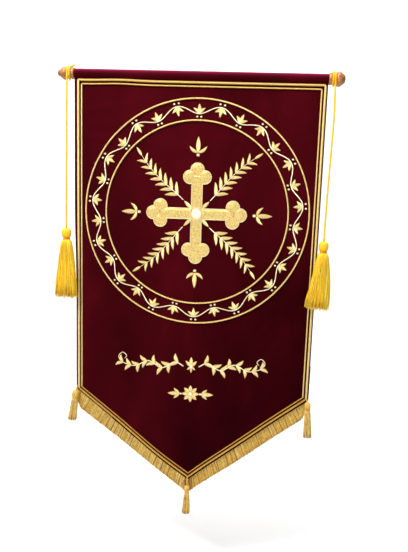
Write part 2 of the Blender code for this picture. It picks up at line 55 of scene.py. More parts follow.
camera_data = bpy.data.cameras.new("photo_camera")
camera_data.sensor_fit = "VERTICAL"
camera_data.sensor_height = 24
camera_data.lens = FOCAL_PX / PHOTO_HEIGHT_PX * camera_data.sensor_height
camera = bpy.data.objects.new("photo_camera", camera_data)
bpy.context.collection.objects.link(camera)
camera.matrix_world = (
    Matrix.Translation(CAMERA_PLACE)
    @ Matrix.Rotation(math.radians(CAMERA_ROLL_DEG), 4, "Y")
    @ Matrix.Rotation(math.radians(CAMERA_TILT_DEG), 4, "X")
    @ Matrix.Rotation(math.radians(CAMERA_TURN_DEG), 4, "Z")
    @ Matrix.Rotation(math.radians(90), 4, "X")
)
bpy.context.scene.camera = camera

# Hanging cords
# Bright yellow rayon cord, three plies laid together, one on each side. It is wound on the
# neck of the finial from a short free end, then hangs in front to its large tassel.
HALF_WIDTH = 0.40
# Radius to the crests of the plies, so that the cord is 6 mm across on average
CREST_RADIUS = 0.0033
CORD_PLIES = 3
CORD_PITCH = 0.021
WRAP_RADIUS = 0.0201
WRAP_FIRST = 0.0130
WRAP_SECOND = 0.0193
WRAP_STEP_DEG = 30
WRAP_TURNS_DEG = 540
# Painted light and shade: the turns on the neck are darkened by the share below, the furrows between plies
# get the low tone below, and the crests are lit by the contrast below
WRAP_SHADE = 0.18
FURROW_SHADE_TONE = 0.06
CREST_HIGHLIGHT = 0.62
SIDEWAYS = np.array([[1.0, 0, 0]])
FORWARDS = np.array([[0, -1.0, 0]])
UPWARDS = np.array([[0, 0, 1.0]])
CROSSING_FROM_DEG = 240
CROSSING_TO_DEG = 320
TASSEL_Y = -0.0300
SEAT = 0.0003
# A tail's points are the distance from the sleeve's end, y and z
HANGING = {
    "left": {
        "side": -1, "cord_length": 0.665, "bow_x": -0.4203,
        "tassel_x": -0.4210, "tassel_top": -0.492, "tassel_length": 0.225,
        "sway": -0.0020, "wrap_from_deg": 90, "tail": [(0.0045, 0.0125, 0.0285), (0.0090, 0.0075, 0.0243)],
    },
    "right": {
        "side": 1, "cord_length": 0.705, "bow_x": 0.4215,
        "tassel_x": 0.4147, "tassel_top": -0.502, "tassel_length": 0.2165,
        "sway": -0.0085, "wrap_from_deg": 0, "tail": [(0.0125, 0.0223, -0.0140), (0.0125, 0.0207, -0.0070)],
    },
}
NECK_LEAVE_Y = -WRAP_RADIUS - 0.0008
NECK_LEAVE_Z = -0.040
NECK_LEAVE_SHARE = 0.35
BOW_Y = -WRAP_RADIUS - 0.0025
BOW_Z = -0.125
DROP_Y = TASSEL_Y + 0.0035
DROP_Z = -0.300
DROP_SHARE = 0.6
FALL_END = 0.050
FALL_END_Y = TASSEL_Y + 0.0002


def ease(low, high, value):
    """Smooth step that is 0 at low and 1 at high: 3 t squared less 2 t cubed."""
    share = np.clip((value - low) / (high - low), 0.0, 1.0)
    return share * share * (3.0 - 2.0 * share)


def smooth_route(points, step):
    """Even points along the smooth curve through the given ones.

    Between two points the curve is the cubic that has, at each end, the slope from the point
    before to the point after. The dense curve is then read again at equal distances."""
    places = np.asarray(points, dtype=float)
    places = np.concatenate([[places[0] * 2 - places[1]], places, [places[-1] * 2 - places[-2]]])
    before, start, end, after = places[:-3], places[1:-2], places[2:-1], places[3:]
    share = np.linspace(0, 1, 40, endpoint=False)[None, :, None]
    before, start, end, after = (part[:, None, :] for part in (before, start, end, after))
    curve = (
        start * 2
        + (end - before) * share
        + (before * 2 - start * 5 + end * 4 - after) * share ** 2
        + (start * 3 - before - end * 3 + after) * share ** 3
    ) / 2
    return even_route(np.concatenate([curve.reshape(-1, 3), [places[-2]]]), step)


def even_route(points, step):
    """Points at equal distances of about one step along a polyline."""
    reach = np.concatenate([[0], np.cumsum(np.linalg.norm(np.diff(points, axis=0), axis=1))])
    count = max(int(round(reach[-1] / step)), 2) + 1
    places = np.linspace(0, reach[-1], count)
    return np.stack([np.interp(places, reach, points[:, axis]) for axis in range(points.shape[1])], axis=1)


def unit(vectors):
    """Vectors of length one along the last axis."""
    return vectors / np.maximum(np.linalg.norm(vectors, axis=-1, keepdims=True), 1e-12)


def full_turn(count):
    """Even angles of a full turn, the first one being 0."""
    return np.linspace(0, 2 * np.pi, count, endpoint=False)


def on_unit_circle(angle):
    """Cosine and sine of angles, along a new last axis."""
    return np.stack([np.cos(angle), np.sin(angle)], axis=-1)


def twisted_tube(path, reference, radius, plies, pitch, sides, depth=0.22, looped=False):
    """Grid of points on a cord of twisted plies that follows a path.

    Each ring's radius is radius * (1 - depth * (1 - |cos(plies * (angle - twist) / 2)|)), and
    twist grows by a full turn over each pitch, so that the plies wind along as lobes. On a
    closed path the number of turns is made whole. Returns the grid and the lobes' height from
    0 in the furrows to 1 on the crests."""
    steps = np.roll(path, -1, axis=0) - np.roll(path, 1, axis=0) if looped else np.gradient(path, axis=0)
    along = unit(steps)
    first = unit(reference - along * np.sum(along * reference, axis=1, keepdims=True))
    second = np.cross(along, first)
    gaps = np.linalg.norm(np.diff(path, axis=0, append=path[:1] if looped else path[-1:]), axis=1)
    reach = np.concatenate([[0], np.cumsum(gaps)[:-1]])
    turns = reach / pitch
    if looped:
        turns = reach / gaps.sum() * max(round(gaps.sum() / pitch), 1)
    angle = full_turn(sides)[None, :]
    lobe = np.abs(np.cos(plies * (angle - 2 * np.pi * turns[:, None]) / 2))
    size = (radius * (1 - depth * (1 - lobe)))[..., None]
    ring = first[:, None, :] * np.cos(angle)[..., None] + second[:, None, :] * np.sin(angle)[..., None]
    return path[:, None, :] + ring * size, lobe


def grid_mesh(name, grids, tones=None, looped=False):
    """Joined mesh of like tubes, one face for each cell of their grids.

    grids has shape (copies, along, across, 3) and is closed across. Looped tubes are closed
    along too, and the others get a cap at each end. A tube whose faces enclose a negative
    volume is wound the other way round, so that all faces point outwards. The UV map holds
    metres along and the share of the way across. tones is a value for each point."""
    grids = np.asarray(grids, dtype=float)
    copies, along, across = grids.shape[:3]
    index = np.arange(copies * along * across).reshape(copies, along, across)
    ahead = np.roll(index, -1, axis=1) if looped else index[:, 1:]
    here = index if looped else index[:, :-1]
    quads = np.stack([here, ahead, np.roll(ahead, -1, axis=2), np.roll(here, -1, axis=2)], axis=-1)
    flat = grids.reshape(-1, 3)
    middle = grids.mean(axis=(1, 2))[:, None, None, :]
    corner = [flat[quads[..., k]] - middle for k in range(4)]
    volume = np.sum(corner[0] * np.cross(corner[1], corner[2]), axis=(1, 2, 3))
    volume += np.sum(corner[0] * np.cross(corner[2], corner[3]), axis=(1, 2, 3))
    lines = grids.mean(axis=2)
    reach = np.cumsum(np.linalg.norm(np.diff(lines, axis=1, prepend=lines[:, :1]), axis=2), axis=1)
    reach_ahead = np.concatenate([reach[:, 1:], reach[:, -1:] + reach[:, 1:2]], axis=1)[:, :here.shape[1]]
    u_here = np.repeat(reach[:, :here.shape[1], None], across, axis=2)
    u_ahead = np.repeat(reach_ahead[:, :, None], across, axis=2)
    v_here = np.broadcast_to(np.arange(across) / across, u_here.shape)
    v_next = v_here + 1 / across
    uv = np.stack([
        np.stack([u_here, v_here], axis=-1), np.stack([u_ahead, v_here], axis=-1),
        np.stack([u_ahead, v_next], axis=-1), np.stack([u_here, v_next], axis=-1),
    ], axis=-2)
    inside_out = volume < 0
    quads[inside_out] = quads[inside_out][..., ::-1]
    uv[inside_out] = uv[inside_out][..., ::-1, :]
    corners = quads.reshape(-1)
    starts = np.arange(0, corners.size, 4)
    corner_uv = uv.reshape(-1, 2)
    if not looped:
        caps = np.concatenate([index[:, 0], index[:, -1, ::-1]])
        caps[np.tile(inside_out, 2)] = caps[np.tile(inside_out, 2)][:, ::-1]
        starts = np.concatenate([starts, corners.size + np.arange(0, caps.size, across)])
        corners = np.concatenate([corners, caps.reshape(-1)])
        corner_uv = np.concatenate([corner_uv, np.zeros((caps.size, 2))])
    return new_mesh(name, flat, corners, starts, corner_uv, tones)


def new_mesh(name, points, corners, starts, corner_uv, tones=None):
    """Smooth-shaded mesh from flat arrays of points, face corners and faces' first corners."""
    mesh = bpy.data.meshes.new(name)
    mesh.vertices.add(len(points))
    mesh.vertices.foreach_set("co", np.asarray(points, dtype=np.float32).ravel())
    mesh.loops.add(len(corners))
    mesh.loops.foreach_set("vertex_index", corners.astype(np.int32))
    mesh.polygons.add(len(starts))
    mesh.polygons.foreach_set("loop_start", starts.astype(np.int32))
    mesh.polygons.foreach_set("use_smooth", np.ones(len(starts), dtype=bool))
    mesh.update(calc_edges=True)
    mesh.uv_layers.new(name="UVMap").data.foreach_set("uv", corner_uv.astype(np.float32).ravel())
    if tones is not None:
        tone = mesh.attributes.new("tone", "FLOAT", "POINT")
        tone.data.foreach_set("value", np.asarray(tones, dtype=np.float32).ravel())
    mesh.validate()
    return mesh


def place_piece(mesh, material, stands_for=()):
    """Puts a finished mesh in the scene, riding on the banner's one body."""
    piece = bpy.data.objects.new(mesh.name, mesh)
    bpy.context.collection.objects.link(piece)
    mesh.materials.append(material)
    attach(piece, "root")
    if stands_for:
        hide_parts(*stands_for)
    return piece


def linear(hex_colour):
    """Linear RGBA from an sRGB hex value."""
    channels = np.array([int(hex_colour[start:start + 2], 16) for start in (0, 2, 4)]) / 255
    channels = np.where(channels <= 0.04045, channels / 12.92, ((channels + 0.055) / 1.055) ** 2.4)
    return (*channels.tolist(), 1.0)


def place_grids(name, grids, tones, material, slot, stands_for=(), looped=False):
    """Joins tubes as one piece. A tube alone comes without the axis of copies."""
    if np.ndim(grids) == 3:
        grids = grids[None]
    return place_piece(grid_mesh(name, grids, tones, looped), material, stands_for)


def add_node(tree, kind, inputs=None, **settings):
    """Adds one shader node, its settings, and its input values or links."""
    item = tree.nodes.new(kind)
    for key, value in settings.items():
        setattr(item, key, value)
    for key, value in (inputs or {}).items():
        if isinstance(value, bpy.types.NodeSocket):
            tree.links.new(value, item.inputs[key])
        else:
            item.inputs[key].default_value = value
    return item


def start_material(name, **constants):
    """New material and its node tree and shader, with constants set on the shader's sockets."""
    material = bpy.data.materials.new(name)
    material.use_nodes = True
    shader = material.node_tree.nodes["Principled BSDF"]
    for key, value in constants.items():
        shader.inputs[key.replace("_", " ")].default_value = value
    return material, material.node_tree, shader


def maths(tree, operation, *values):
    """Result of a maths node on one to three values or outputs."""
    return add_node(tree, "ShaderNodeMath", dict(enumerate(values)), operation=operation).outputs[0]


def noise(tree, place, scale, detail=2.0, distortion=0.0):
    """Cloudy values from 0 to 1. The scale is in waves a metre, one for each axis."""
    stretched = add_node(tree, "ShaderNodeMapping", {"Vector": place, "Scale": scale}).outputs[0]
    return add_node(tree, "ShaderNodeTexNoise", {
        "Vector": stretched, "Scale": 1.0, "Detail": detail, "Distortion": distortion,
    }).outputs["Fac"]


def finish_looks(tree, shader, colour, height=None, strength=0.0, distance=0.0, **settings):
    """Joins a colour to the shader, and a height field as bumps of a distance in metres."""
    tree.links.new(colour, shader.inputs["Base Color"])
    if height is not None:
        bump = add_node(tree, "ShaderNodeBump", {
            "Height": height, "Strength": strength, "Distance": distance,
        }, **settings)
        tree.links.new(bump.outputs["Normal"], shader.inputs["Normal"])


def colour_ramp(tree, factor, stops):
    """Blend of hex colours along a factor, from (place, colour) pairs."""
    ramp = add_node(tree, "ShaderNodeValToRGB", {"Fac": factor})
    band = ramp.color_ramp
    while len(band.elements) < len(stops):
        band.elements.new(0.5)
    for element, (place, hex_colour) in zip(band.elements, stops):
        element.position = place
        element.color = linear(hex_colour)
    return ramp.outputs["Color"]


FILAMENTS_AROUND = 12


def yarn_material(name, stops, filament_mm, bump_height, fleck_share, **constants):
    """Yarn whose colour runs along a tone, from dark to light, which paints shade in its furrows and
    highlights on its crests, with fine filaments along it.

    The filaments are a sine of the distance across and along, one ridge each filament_mm.
    Flecks 3 mm wide and 10 mm long stand for threads that catch the light, drawn coarse."""
    material, tree, shader = start_material(name, **constants)
    tone = add_node(tree, "ShaderNodeAttribute", attribute_name="tone").outputs["Fac"]
    place = add_node(tree, "ShaderNodeTexCoord")
    flecks = noise(tree, place.outputs["Object"], (330, 330, 100), detail=3.0)
    mixed = maths(tree, "MULTIPLY_ADD", flecks, fleck_share, tone)
    colour = colour_ramp(tree, maths(tree, "SUBTRACT", mixed, fleck_share / 2), stops)
    split = add_node(tree, "ShaderNodeSeparateXYZ", {0: place.outputs["UV"]})
    turned = maths(tree, "MULTIPLY", split.outputs["X"], 2 * math.pi / (filament_mm / 1000))
    around = maths(tree, "MULTIPLY_ADD", split.outputs["Y"], 2 * math.pi * FILAMENTS_AROUND, turned)
    finish_looks(tree, shader, colour, maths(tree, "SINE", around), 0.6, bump_height)
    return material


# Viscose rayon yarn: filaments with a silky shine, painted orange in the furrows as shade
rayon_yarn = yarn_material(
    "viscose_rayon_yarn",
    [(0.0, "B45602"), (0.25, "F09A0A"), (0.5, "FFC81A"), (0.75, "FFDC3A"), (1.0, "FFEE6C")],
    filament_mm=1.1, bump_height=0.00025, fleck_share=0.8, Roughness=0.45,
    Specular_IOR_Level=0.25,
)


def cord_route(hang):
    """Route points of a hanging cord, tail first, then the turns on the neck and the fall."""
    side = hang["side"]
    points = [(side * (HALF_WIDTH + reach), y, z) for reach, y, z in hang["tail"]]
    turns = np.arange(hang["wrap_from_deg"], WRAP_TURNS_DEG + 1, WRAP_STEP_DEG)
    angles = np.radians(turns)
    across = WRAP_FIRST + (WRAP_SECOND - WRAP_FIRST) * ease(CROSSING_FROM_DEG, CROSSING_TO_DEG, turns)
    circle = WRAP_RADIUS * on_unit_circle(angles)
    points.extend(np.column_stack([side * (HALF_WIDTH + across), circle]).tolist())
    top = hang["tassel_top"] + SEAT
    neck_x = side * (HALF_WIDTH + WRAP_SECOND)
    points.append((neck_x + (hang["bow_x"] - neck_x) * NECK_LEAVE_SHARE, NECK_LEAVE_Y, NECK_LEAVE_Z))
    points.append((hang["bow_x"], BOW_Y, BOW_Z))
    points.append((hang["bow_x"] + (hang["tassel_x"] - hang["bow_x"]) * DROP_SHARE, DROP_Y, DROP_Z))
    points.append((hang["tassel_x"], FALL_END_Y, top + FALL_END))
    points.append((hang["tassel_x"], TASSEL_Y, top))
    return points


def make_cord(side_name):
    """One hanging cord as a twisted tube along its route."""
    path = smooth_route(cord_route(HANGING[side_name]), 0.0012)
    grid, lobes = twisted_tube(path, SIDEWAYS, CREST_RADIUS, CORD_PLIES, CORD_PITCH, 18)
    wound = ease(NECK_LEAVE_Z, 0.0, path[:, 2:])
    # Painted shade in the furrows and on the turns round the neck, and painted highlight on the crests
    tones = (FURROW_SHADE_TONE + CREST_HIGHLIGHT * lobes) * (1 - WRAP_SHADE * wound)
    return place_grids(
        "hanging_cord_" + side_name, grid, tones, rayon_yarn, "yellow_rayon", ["cord_" + side_name]
    ), path


cords = {side_name: make_cord(side_name) for side_name in HANGING}

# Large tassels
# Yellow rayon like the cords: a wound head over a wooden ball, bound tight at the neck, and
# a skirt of several hundred loose threads that hangs flatter from front to back.
HEAD_PROFILE = np.array([
    (0.0012, 0.0030), (0.0001, 0.0060), (0.0016, 0.0101), (0.0056, 0.0137), (0.0118, 0.0153),
    (0.0185, 0.0152), (0.0245, 0.0141), (0.0290, 0.0120), (0.0312, 0.0104), (0.0345, 0.0100),
    (0.0430, 0.0096),
])
SKIRT_SQUEEZED_FROM = 0.05
SKIRT_SQUEEZED_FULL = 0.50
CORE_SHARE = 0.62
# The inner body's low tone is painted shade inside the skirt
CORE_SHADE_TONE = 0.3
GOLDEN_ANGLE = 2.39996
LARGE_TASSEL = {
    "head": HEAD_PROFILE, "ribs": 40, "rib_depth": 0.0005, "head_rows": 40, "head_shade": 0.62,
    "binding_drop": 0.0306, "binding_reach": 0.0106, "wire": 0.0011, "wire_pitch": 0.004, "wire_shade_tone": 0.45,
    "threads": 620, "segments": 10, "thread_radius": 0.00085, "thinning": 0.25,
    "top": 0.0362, "neck": 0.0104, "shoulder": 0.0052, "spread": 0.0355, "flat": 0.42, "flare": 1.6,
    "wander": 0.035, "fray": 0.055, "uneven": 0.0034, "locks": 19, "ragged": 0.0046, "tone": 0.62,
}


def ribbed_head(profile, ribs, rib_depth, place, rows):
    """Grid on a head turned round a vertical axis from (drop, radius) rows.

    The radius is the profile's, smoothed by equal steps along it, and grows by rib_depth times
    |cos(ribs * angle / 2)|, the wound threads. Returns the grid and the ribs' height."""
    dense = even_route(smooth_profile(profile), 1e-4)
    pick = np.linspace(0, len(dense) - 1, rows).round().astype(int)
    drop, radius = dense[pick, 0], dense[pick, 1]
    angle = full_turn(ribs * 4)
    rib = np.broadcast_to(np.abs(np.cos(ribs * angle / 2)), (rows, ribs * 4))
    size = radius[:, None] + rib_depth * rib
    grid = np.stack([
        place[0] + size * np.cos(angle), place[1] + size * np.sin(angle),
        place[2] - np.broadcast_to(drop[:, None], size.shape),
    ], axis=-1)
    return grid, rib


def head_tones(rib, shade):
    """Tones of a wound head: painted lighter on the ribs, as highlights, and painted darker at the top and
    towards the binding by shade, as shade.
    """
    down = np.linspace(0, 1, len(rib))[:, None]
    dark = ease(0.45, 0.95, down) + 0.3 * (1 - ease(0.0, 0.2, down))
    return (0.20 + 0.50 * rib) * (1 - shade * dark)


def smooth_profile(profile):
    """The profile's (drop, radius) rows joined by a smooth curve, as for a route."""
    points = np.concatenate([profile, np.zeros((len(profile), 1))], axis=1)
    return smooth_route(points, 2e-4)[:, :2]


def wound_binding(place, drop, radius, wire, turns):
    """Route of a thread wound on a neck: a helix of wire's diameter a turn, downwards."""
    angle = np.linspace(0, 2 * np.pi * turns, int(40 * turns))
    height = place[2] - drop - angle / (2 * np.pi) * wire * 1.9
    return np.stack([place[0] + radius * np.cos(angle), place[1] + radius * np.sin(angle), height], axis=1)


def thread_tubes(lines, radius, sides=4):
    """Grids of thin tubes round many lines of shape (copies, along, 3).

    The ring's first direction is sideways to the line and to the banner's front."""
    along = unit(np.gradient(lines, axis=1))
    first = unit(np.cross(along, np.array([0.0, -1.0, 0.0])))
    second = np.cross(along, first)
    angle = full_turn(sides) + np.pi / 4
    ring = first[:, :, None] * np.cos(angle)[:, None] + second[:, :, None] * np.sin(angle)[:, None]
    return lines[:, :, None] + ring * np.asarray(radius)[..., None, None]


def skirt_squeeze(tassel, t):
    """Depth of the skirt as a share of its width, from 1 at the binding to the flat share."""
    return 1 - (1 - tassel["flat"]) * ease(SKIRT_SQUEEZED_FROM, SKIRT_SQUEEZED_FULL, t)


def skirt_lines(chance, tassel, place):
    """Lines of a tassel's loose threads and their tones, from the sizes in its dictionary.

    t runs from 0 at the binding to 1 at the cut end. A thread's distance from the axis goes
    from neck to spread by 1 - (1 - t) ** flare, and a shoulder comes on over the first part.
    Its own share of both is the square root of a random number, so the skirt fills evenly.
    The threads gather in locks, a cosine of the angle: on a lock they stand out and reach lower, and
    are painted lighter, with painted shade between the locks; towards the cut ends the locks are
    painted lighter still and all threads darker, as shade. The angle wanders by a slow sine, the
    ends fray outwards, front to back all is squeezed to the flat share, and all threads sway
    sideways by the square of t. A thread that reaches far to one side hangs less deep, because its
    length is fixed."""
    count = tassel["threads"]
    angle = (np.arange(count) * GOLDEN_ANGLE + chance.uniform(-0.1, 0.1, count))[:, None]
    layer = np.sqrt(chance.uniform(0.35, 1.0, count))[:, None]
    t = (np.linspace(0, 1, tassel["segments"]) ** 1.5)[None, :]
    phase = chance.uniform(0, 2 * np.pi, count)[:, None]
    lock = np.cos(angle * tassel["locks"] + 1.6 * np.sin(angle * 3 + 1) + 2.2 * np.sin(angle * 2 + t * 2.5))
    cut = chance.normal(0, tassel["uneven"], count)[:, None] + tassel["ragged"] * lock
    radius = tassel["neck"] + (tassel["spread"] - tassel["neck"]) * (1 - (1 - t) ** tassel["flare"])
    radius = layer * (radius + tassel["shoulder"] * ease(0.0, 0.05, t) * (1 - t))
    radius = radius * (1 + 0.045 * lock * ease(0.1, 0.9, t))
    angle = angle + tassel["wander"] * t * np.sin(phase + t * 5)
    fray = np.minimum(chance.exponential(tassel["fray"], count), 0.26)[:, None] * (0.6 - 0.4 * np.cos(angle))
    radius = radius * (1 + fray * ease(0.6, 1.0, t) + 0.04 * t * np.sin(phase * 3 + t * 4))
    x = radius * np.cos(angle) + tassel["sway"] * t ** 2
    length = tassel["bottom"] - tassel["top"]
    fall = np.sqrt(1 - np.clip(x[:, -1:] / length, -0.6, 0.6) ** 2)
    height = -(tassel["top"] + (length * fall + cut) * t)
    tone = tassel["tone"] + chance.normal(0, 0.16, count)[:, None] + 0.10 * np.sin(phase * 7 + t * 16)
    # Painted highlight on the locks, and painted shade between them, growing towards the cut ends
    tone = tone + lock * (0.08 + 0.30 * ease(0.76, 1.0, t)) - 0.16 * ease(0.82, 1.0, t)
    lines = np.stack([x, radius * np.sin(angle) * skirt_squeeze(tassel, t), height], axis=-1)
    return place + lines, np.clip(tone, 0.05, 1)


def skirt_core(tassel, place):
    """Closed inner body of a skirt, behind its loose threads, as one grid."""
    t = np.linspace(0, 1, 24)[:, None]
    angle = full_turn(40)[None, :]
    radius = tassel["neck"] + (tassel["spread"] - tassel["neck"]) * (1 - (1 - t) ** tassel["flare"])
    radius = radius * CORE_SHARE * (1 - 0.9 * ease(0.93, 1.0, t))
    x = radius * np.cos(angle) + tassel["sway"] * t ** 2
    height = -(tassel["top"] + (tassel["bottom"] - tassel["top"]) * 0.97 * t) + 0 * angle
    return place + np.stack([x, radius * np.sin(angle) * skirt_squeeze(tassel, t), height], axis=-1)


def make_tassel(
    kind, place_name, tassel, place, seed, material, slot, stands_for, pose=lambda points: points
):
    """Head, binding, skirt and core of one tassel, each moved by the pose. Returns the head."""

    def put(part, grids, tones, stands_for=()):
        """Places one part under its name."""
        name = kind + "_" + part + "_" + place_name
        return place_grids(name, pose(grids), tones, material, slot, stands_for)

    grid, rib = ribbed_head(tassel["head"], tassel["ribs"], tassel["rib_depth"], place, tassel["head_rows"])
    head = put("head", grid, head_tones(rib, tassel["head_shade"]), [stands_for])
    wire = tassel["wire"]
    binding = wound_binding(place, tassel["binding_drop"], tassel["binding_reach"], wire, 3)
    grid, lobes = twisted_tube(binding, UPWARDS, wire, 2, tassel["wire_pitch"], 8)
    # Painted shade: the binding's tone is low on the large tassels, as shade under the head, and darker in
    # its furrows
    put("binding", grid, tassel["wire_shade_tone"] * lobes)
    lines, tones = skirt_lines(np.random.default_rng(seed), tassel, place)
    thickness = tassel["thread_radius"] * (1 - tassel["thinning"] * np.linspace(0, 1, lines.shape[1]) ** 3)
    grids = thread_tubes(lines, np.broadcast_to(thickness, lines.shape[:2]))
    put("skirt", grids, np.broadcast_to(tones[:, :, None], grids.shape[:3]), [stands_for])
    core = skirt_core(tassel, place)
    # The core is painted dark, as the shade inside the skirt
    put("core", core, np.full(core.shape[:2], CORE_SHADE_TONE))
    return head


for (side_name, (cord, path)), seed in zip(cords.items(), (11, 12)):
    hang = HANGING[side_name]
    head = make_tassel(
        "tassel", side_name, LARGE_TASSEL | {"bottom": hang["tassel_length"], "sway": hang["sway"]},
        np.array([hang["tassel_x"], TASSEL_Y, hang["tassel_top"]]), seed,
        rayon_yarn, "yellow_rayon", "tassel_" + side_name,
    )

# Rod and finials
# A beech dowel inside the sleeve, with a turned beech knob on each end: a collar against the
# cloth, a straight neck for the cord and a drop-shaped bulb, varnished, its nipple stained.
FINIAL_FOOT = 0.001
# The right bulb was turned blunter and thicker than the left one
RIGHT_BULB_PROFILE = np.array([
    (0.0510, 0.0002), (0.0507, 0.0086), (0.0480, 0.0128), (0.0432, 0.0172), (0.0385, 0.0208),
    (0.0345, 0.0227), (0.0305, 0.0230), (0.0262, 0.0217), (0.0228, 0.0187),
])
LEFT_BULB_PROFILE = np.array([
    (0.0532, 0.0002), (0.0529, 0.0066), (0.0505, 0.0090), (0.0475, 0.0099), (0.0450, 0.0120),
    (0.0395, 0.0167), (0.0345, 0.0202), (0.0300, 0.0213), (0.0262, 0.0205), (0.0228, 0.0184),
])
NECK_PROFILE = np.array([
    (0.0222, 0.0162), (0.0097, 0.0162), (0.0093, 0.0177), (0.0080, 0.0185), (0.0030, 0.0185),
    (FINIAL_FOOT, 0.0174),
])
FINIAL_SIDES = 56
FINIAL_STEP = 0.0006
STAIN_FROM = 0.0360
STAIN_FULL = 0.0520
STAIN_SHARE = 0.55


def mixed_colour(tree, share, colour, hex_colour):
    """A colour turned into a second one by a share."""
    return add_node(tree, "ShaderNodeMix", {
        "Factor": share, 6: colour, 7: linear(hex_colour),
    }, data_type="RGBA", blend_type="MIX").outputs[2]


def wood_material():
    """Beech: pale brown with darker streaks along the grain and short fine pores, varnished."""
    material, tree, shader = start_material(
        "varnished_beech", Roughness=0.46, Coat_Weight=0.18, Coat_Roughness=0.25
    )
    place = add_node(tree, "ShaderNodeTexCoord").outputs["Object"]
    grain = noise(tree, place, (14, 150, 150), detail=5.0, distortion=0.4)
    pores = noise(tree, place, (160, 1500, 1500))
    streaks = maths(tree, "MULTIPLY_ADD", pores, 0.3, grain)
    pale = colour_ramp(tree, streaks, [(0.40, "743F17"), (0.60, "9B5F2E"), (0.85, "BC8348")])
    stain = add_node(tree, "ShaderNodeAttribute", attribute_name="tone")
    stained = mixed_colour(tree, stain.outputs["Fac"], pale, "6A3612")
    finish_looks(tree, shader, stained, streaks, 0.25, 0.0003)
    return material


beech = wood_material()


def turned_grid(profile, side):
    """Grid on a knob turned round the rod's axis: each (distance, radius) row is a circle."""
    circle = profile[:, 1:, None] * on_unit_circle(full_turn(FINIAL_SIDES))
    across = side * (HALF_WIDTH + profile[:, :1, None]) + np.zeros((1, FINIAL_SIDES, 1))
    return np.concatenate([across, circle], axis=-1)


def make_finial(side_name, side):
    """One turned knob, with its stain strongest on the nipple."""
    bulb = LEFT_BULB_PROFILE if side < 0 else RIGHT_BULB_PROFILE
    profile = np.concatenate([smooth_profile(bulb), NECK_PROFILE])
    profile = even_route(profile, FINIAL_STEP)
    stain = STAIN_SHARE * ease(STAIN_FROM, STAIN_FULL, profile[:, :1]) + np.zeros((1, FINIAL_SIDES))
    place_grids(
        "turned_finial_" + side_name, turned_grid(profile, side), stain,
        beech, "turned_wood", ["finial_" + side_name],
    )


for side_name, hang in HANGING.items():
    make_finial(side_name, hang["side"])
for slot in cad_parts["rod"].material_slots:
    slot.material = beech

# Velvet cloth
# One piece of burgundy cotton velvet with a stiff backing. Its top is turned over the rod as a
# sleeve and sewn down, and its lower edge is cut to a point. The stiff needlework in the
# middle holds it flat, and it falls in faint flutes below.
CLOTH_THICKNESS = 0.0022
SIDE_DROP = 1.0471
POINT_DROP = 1.3636
POINT_SLOPE = (POINT_DROP - SIDE_DROP) / HALF_WIDTH
SLOPE_ANGLE = math.atan(POINT_SLOPE)
ROD_RADIUS = 0.0125
SLEEVE_RADIUS = ROD_RADIUS + SEAT + CLOTH_THICKNESS / 2
BEND_RADIUS = 0.0036
HEM_EDGE_Z = -0.042
LAYER_Y = (CLOTH_THICKNESS + SEAT) / 2
BEND_REACH = SLEEVE_RADIUS + BEND_RADIUS
BEND_TURN = math.acos((BEND_RADIUS + LAYER_Y) / BEND_REACH)
PANEL_TOP_Z = -BEND_REACH * math.sin(BEND_TURN)
FLUTE_DEPTH = 0.003
FLUTE_PITCH = 0.27
FLUTE_SHIFT = 0.03
FLUTES_BEGIN = 0.80
FLUTES_FULL = 1.25
SIDE_BOW = 0.002
BOW_BEGINS = 0.04
BOW_FULL = 0.50
# The borders' stitching draws the left edge in half way down, and the right edge gives a little
DRAWN_IN = 0.0046
DRAWN_FROM = 0.40
DRAWN_FULL = 0.70
GIVEN_OUT = 0.0018
GIVEN_PLACE = 0.78
GIVEN_REACH = 0.34
# The slanted lower edges aren't quite straight: the left one sags and the right one is drawn up
SAG_LEFT = 0.0060
SAG_RIGHT = -0.0038
CLOTH_COLUMNS = 180
PANEL_ROWS = 210
# Soft creases: x and z of the middle, half length, half width, angle in degrees
# and height forwards
CREASES = [
    (-0.235, -0.205, 0.150, 0.014, -4, 0.0019),
    (-0.180, -0.168, 0.170, 0.012, 6, -0.0015),
    (-0.070, -0.232, 0.140, 0.015, 8, 0.0014),
    (0.110, -0.195, 0.130, 0.017, -7, 0.0012),
    (-0.300, -0.105, 0.110, 0.013, 12, 0.0014),
    (0.285, -0.118, 0.090, 0.015, -18, 0.0014),
    (-0.340, -0.760, 0.120, 0.018, 62, 0.0017),
    (0.330, -0.800, 0.140, 0.020, -68, 0.0020),
    (-0.120, -0.870, 0.160, 0.022, 5, 0.0014),
    (0.170, -1.085, 0.120, 0.020, 34, 0.0017),
    (-0.190, -1.120, 0.110, 0.018, -36, 0.0015),
]
RING_CENTRE = np.array([0.0023, -0.4313])
RING_RADII = (0.3638, 0.2966)
RUMPLE_HEIGHT = 0.00018
WEAVE_PITCH = 0.0012
PUCKER_HEIGHT = 0.00028
PUCKERS = 76
PUCKER_REACH = 0.020


def edge_sag(x):
    """Sag of the slanted edges: the sine of pi times the share of the way from the side to the
    point, that share raised to 1.5 first, so that the most is nearer the point."""
    from_side = 1 - np.clip(np.abs(x) / HALF_WIDTH, 0, 1)
    return np.where(x < 0, SAG_LEFT, SAG_RIGHT) * np.sin(np.pi * from_side ** 1.5)


def lower_edge(x):
    """Height of the pointed lower edge: the side drop, the slope towards the middle and the sag."""
    return -(SIDE_DROP + (HALF_WIDTH - np.abs(x)) * POINT_SLOPE + edge_sag(x))


def swing(x, z):
    """Swing out of the plane, forwards negative: flutes as a cosine across, growing downwards,
    and a bow as the cube of the place across."""
    wave = np.cos(2 * np.pi * (x - FLUTE_SHIFT) / FLUTE_PITCH)
    flutes = FLUTE_DEPTH * ease(FLUTES_BEGIN, FLUTES_FULL, -z) * wave
    return flutes + SIDE_BOW * ease(BOW_BEGINS, BOW_FULL, -z) * (x / HALF_WIDTH) ** 3


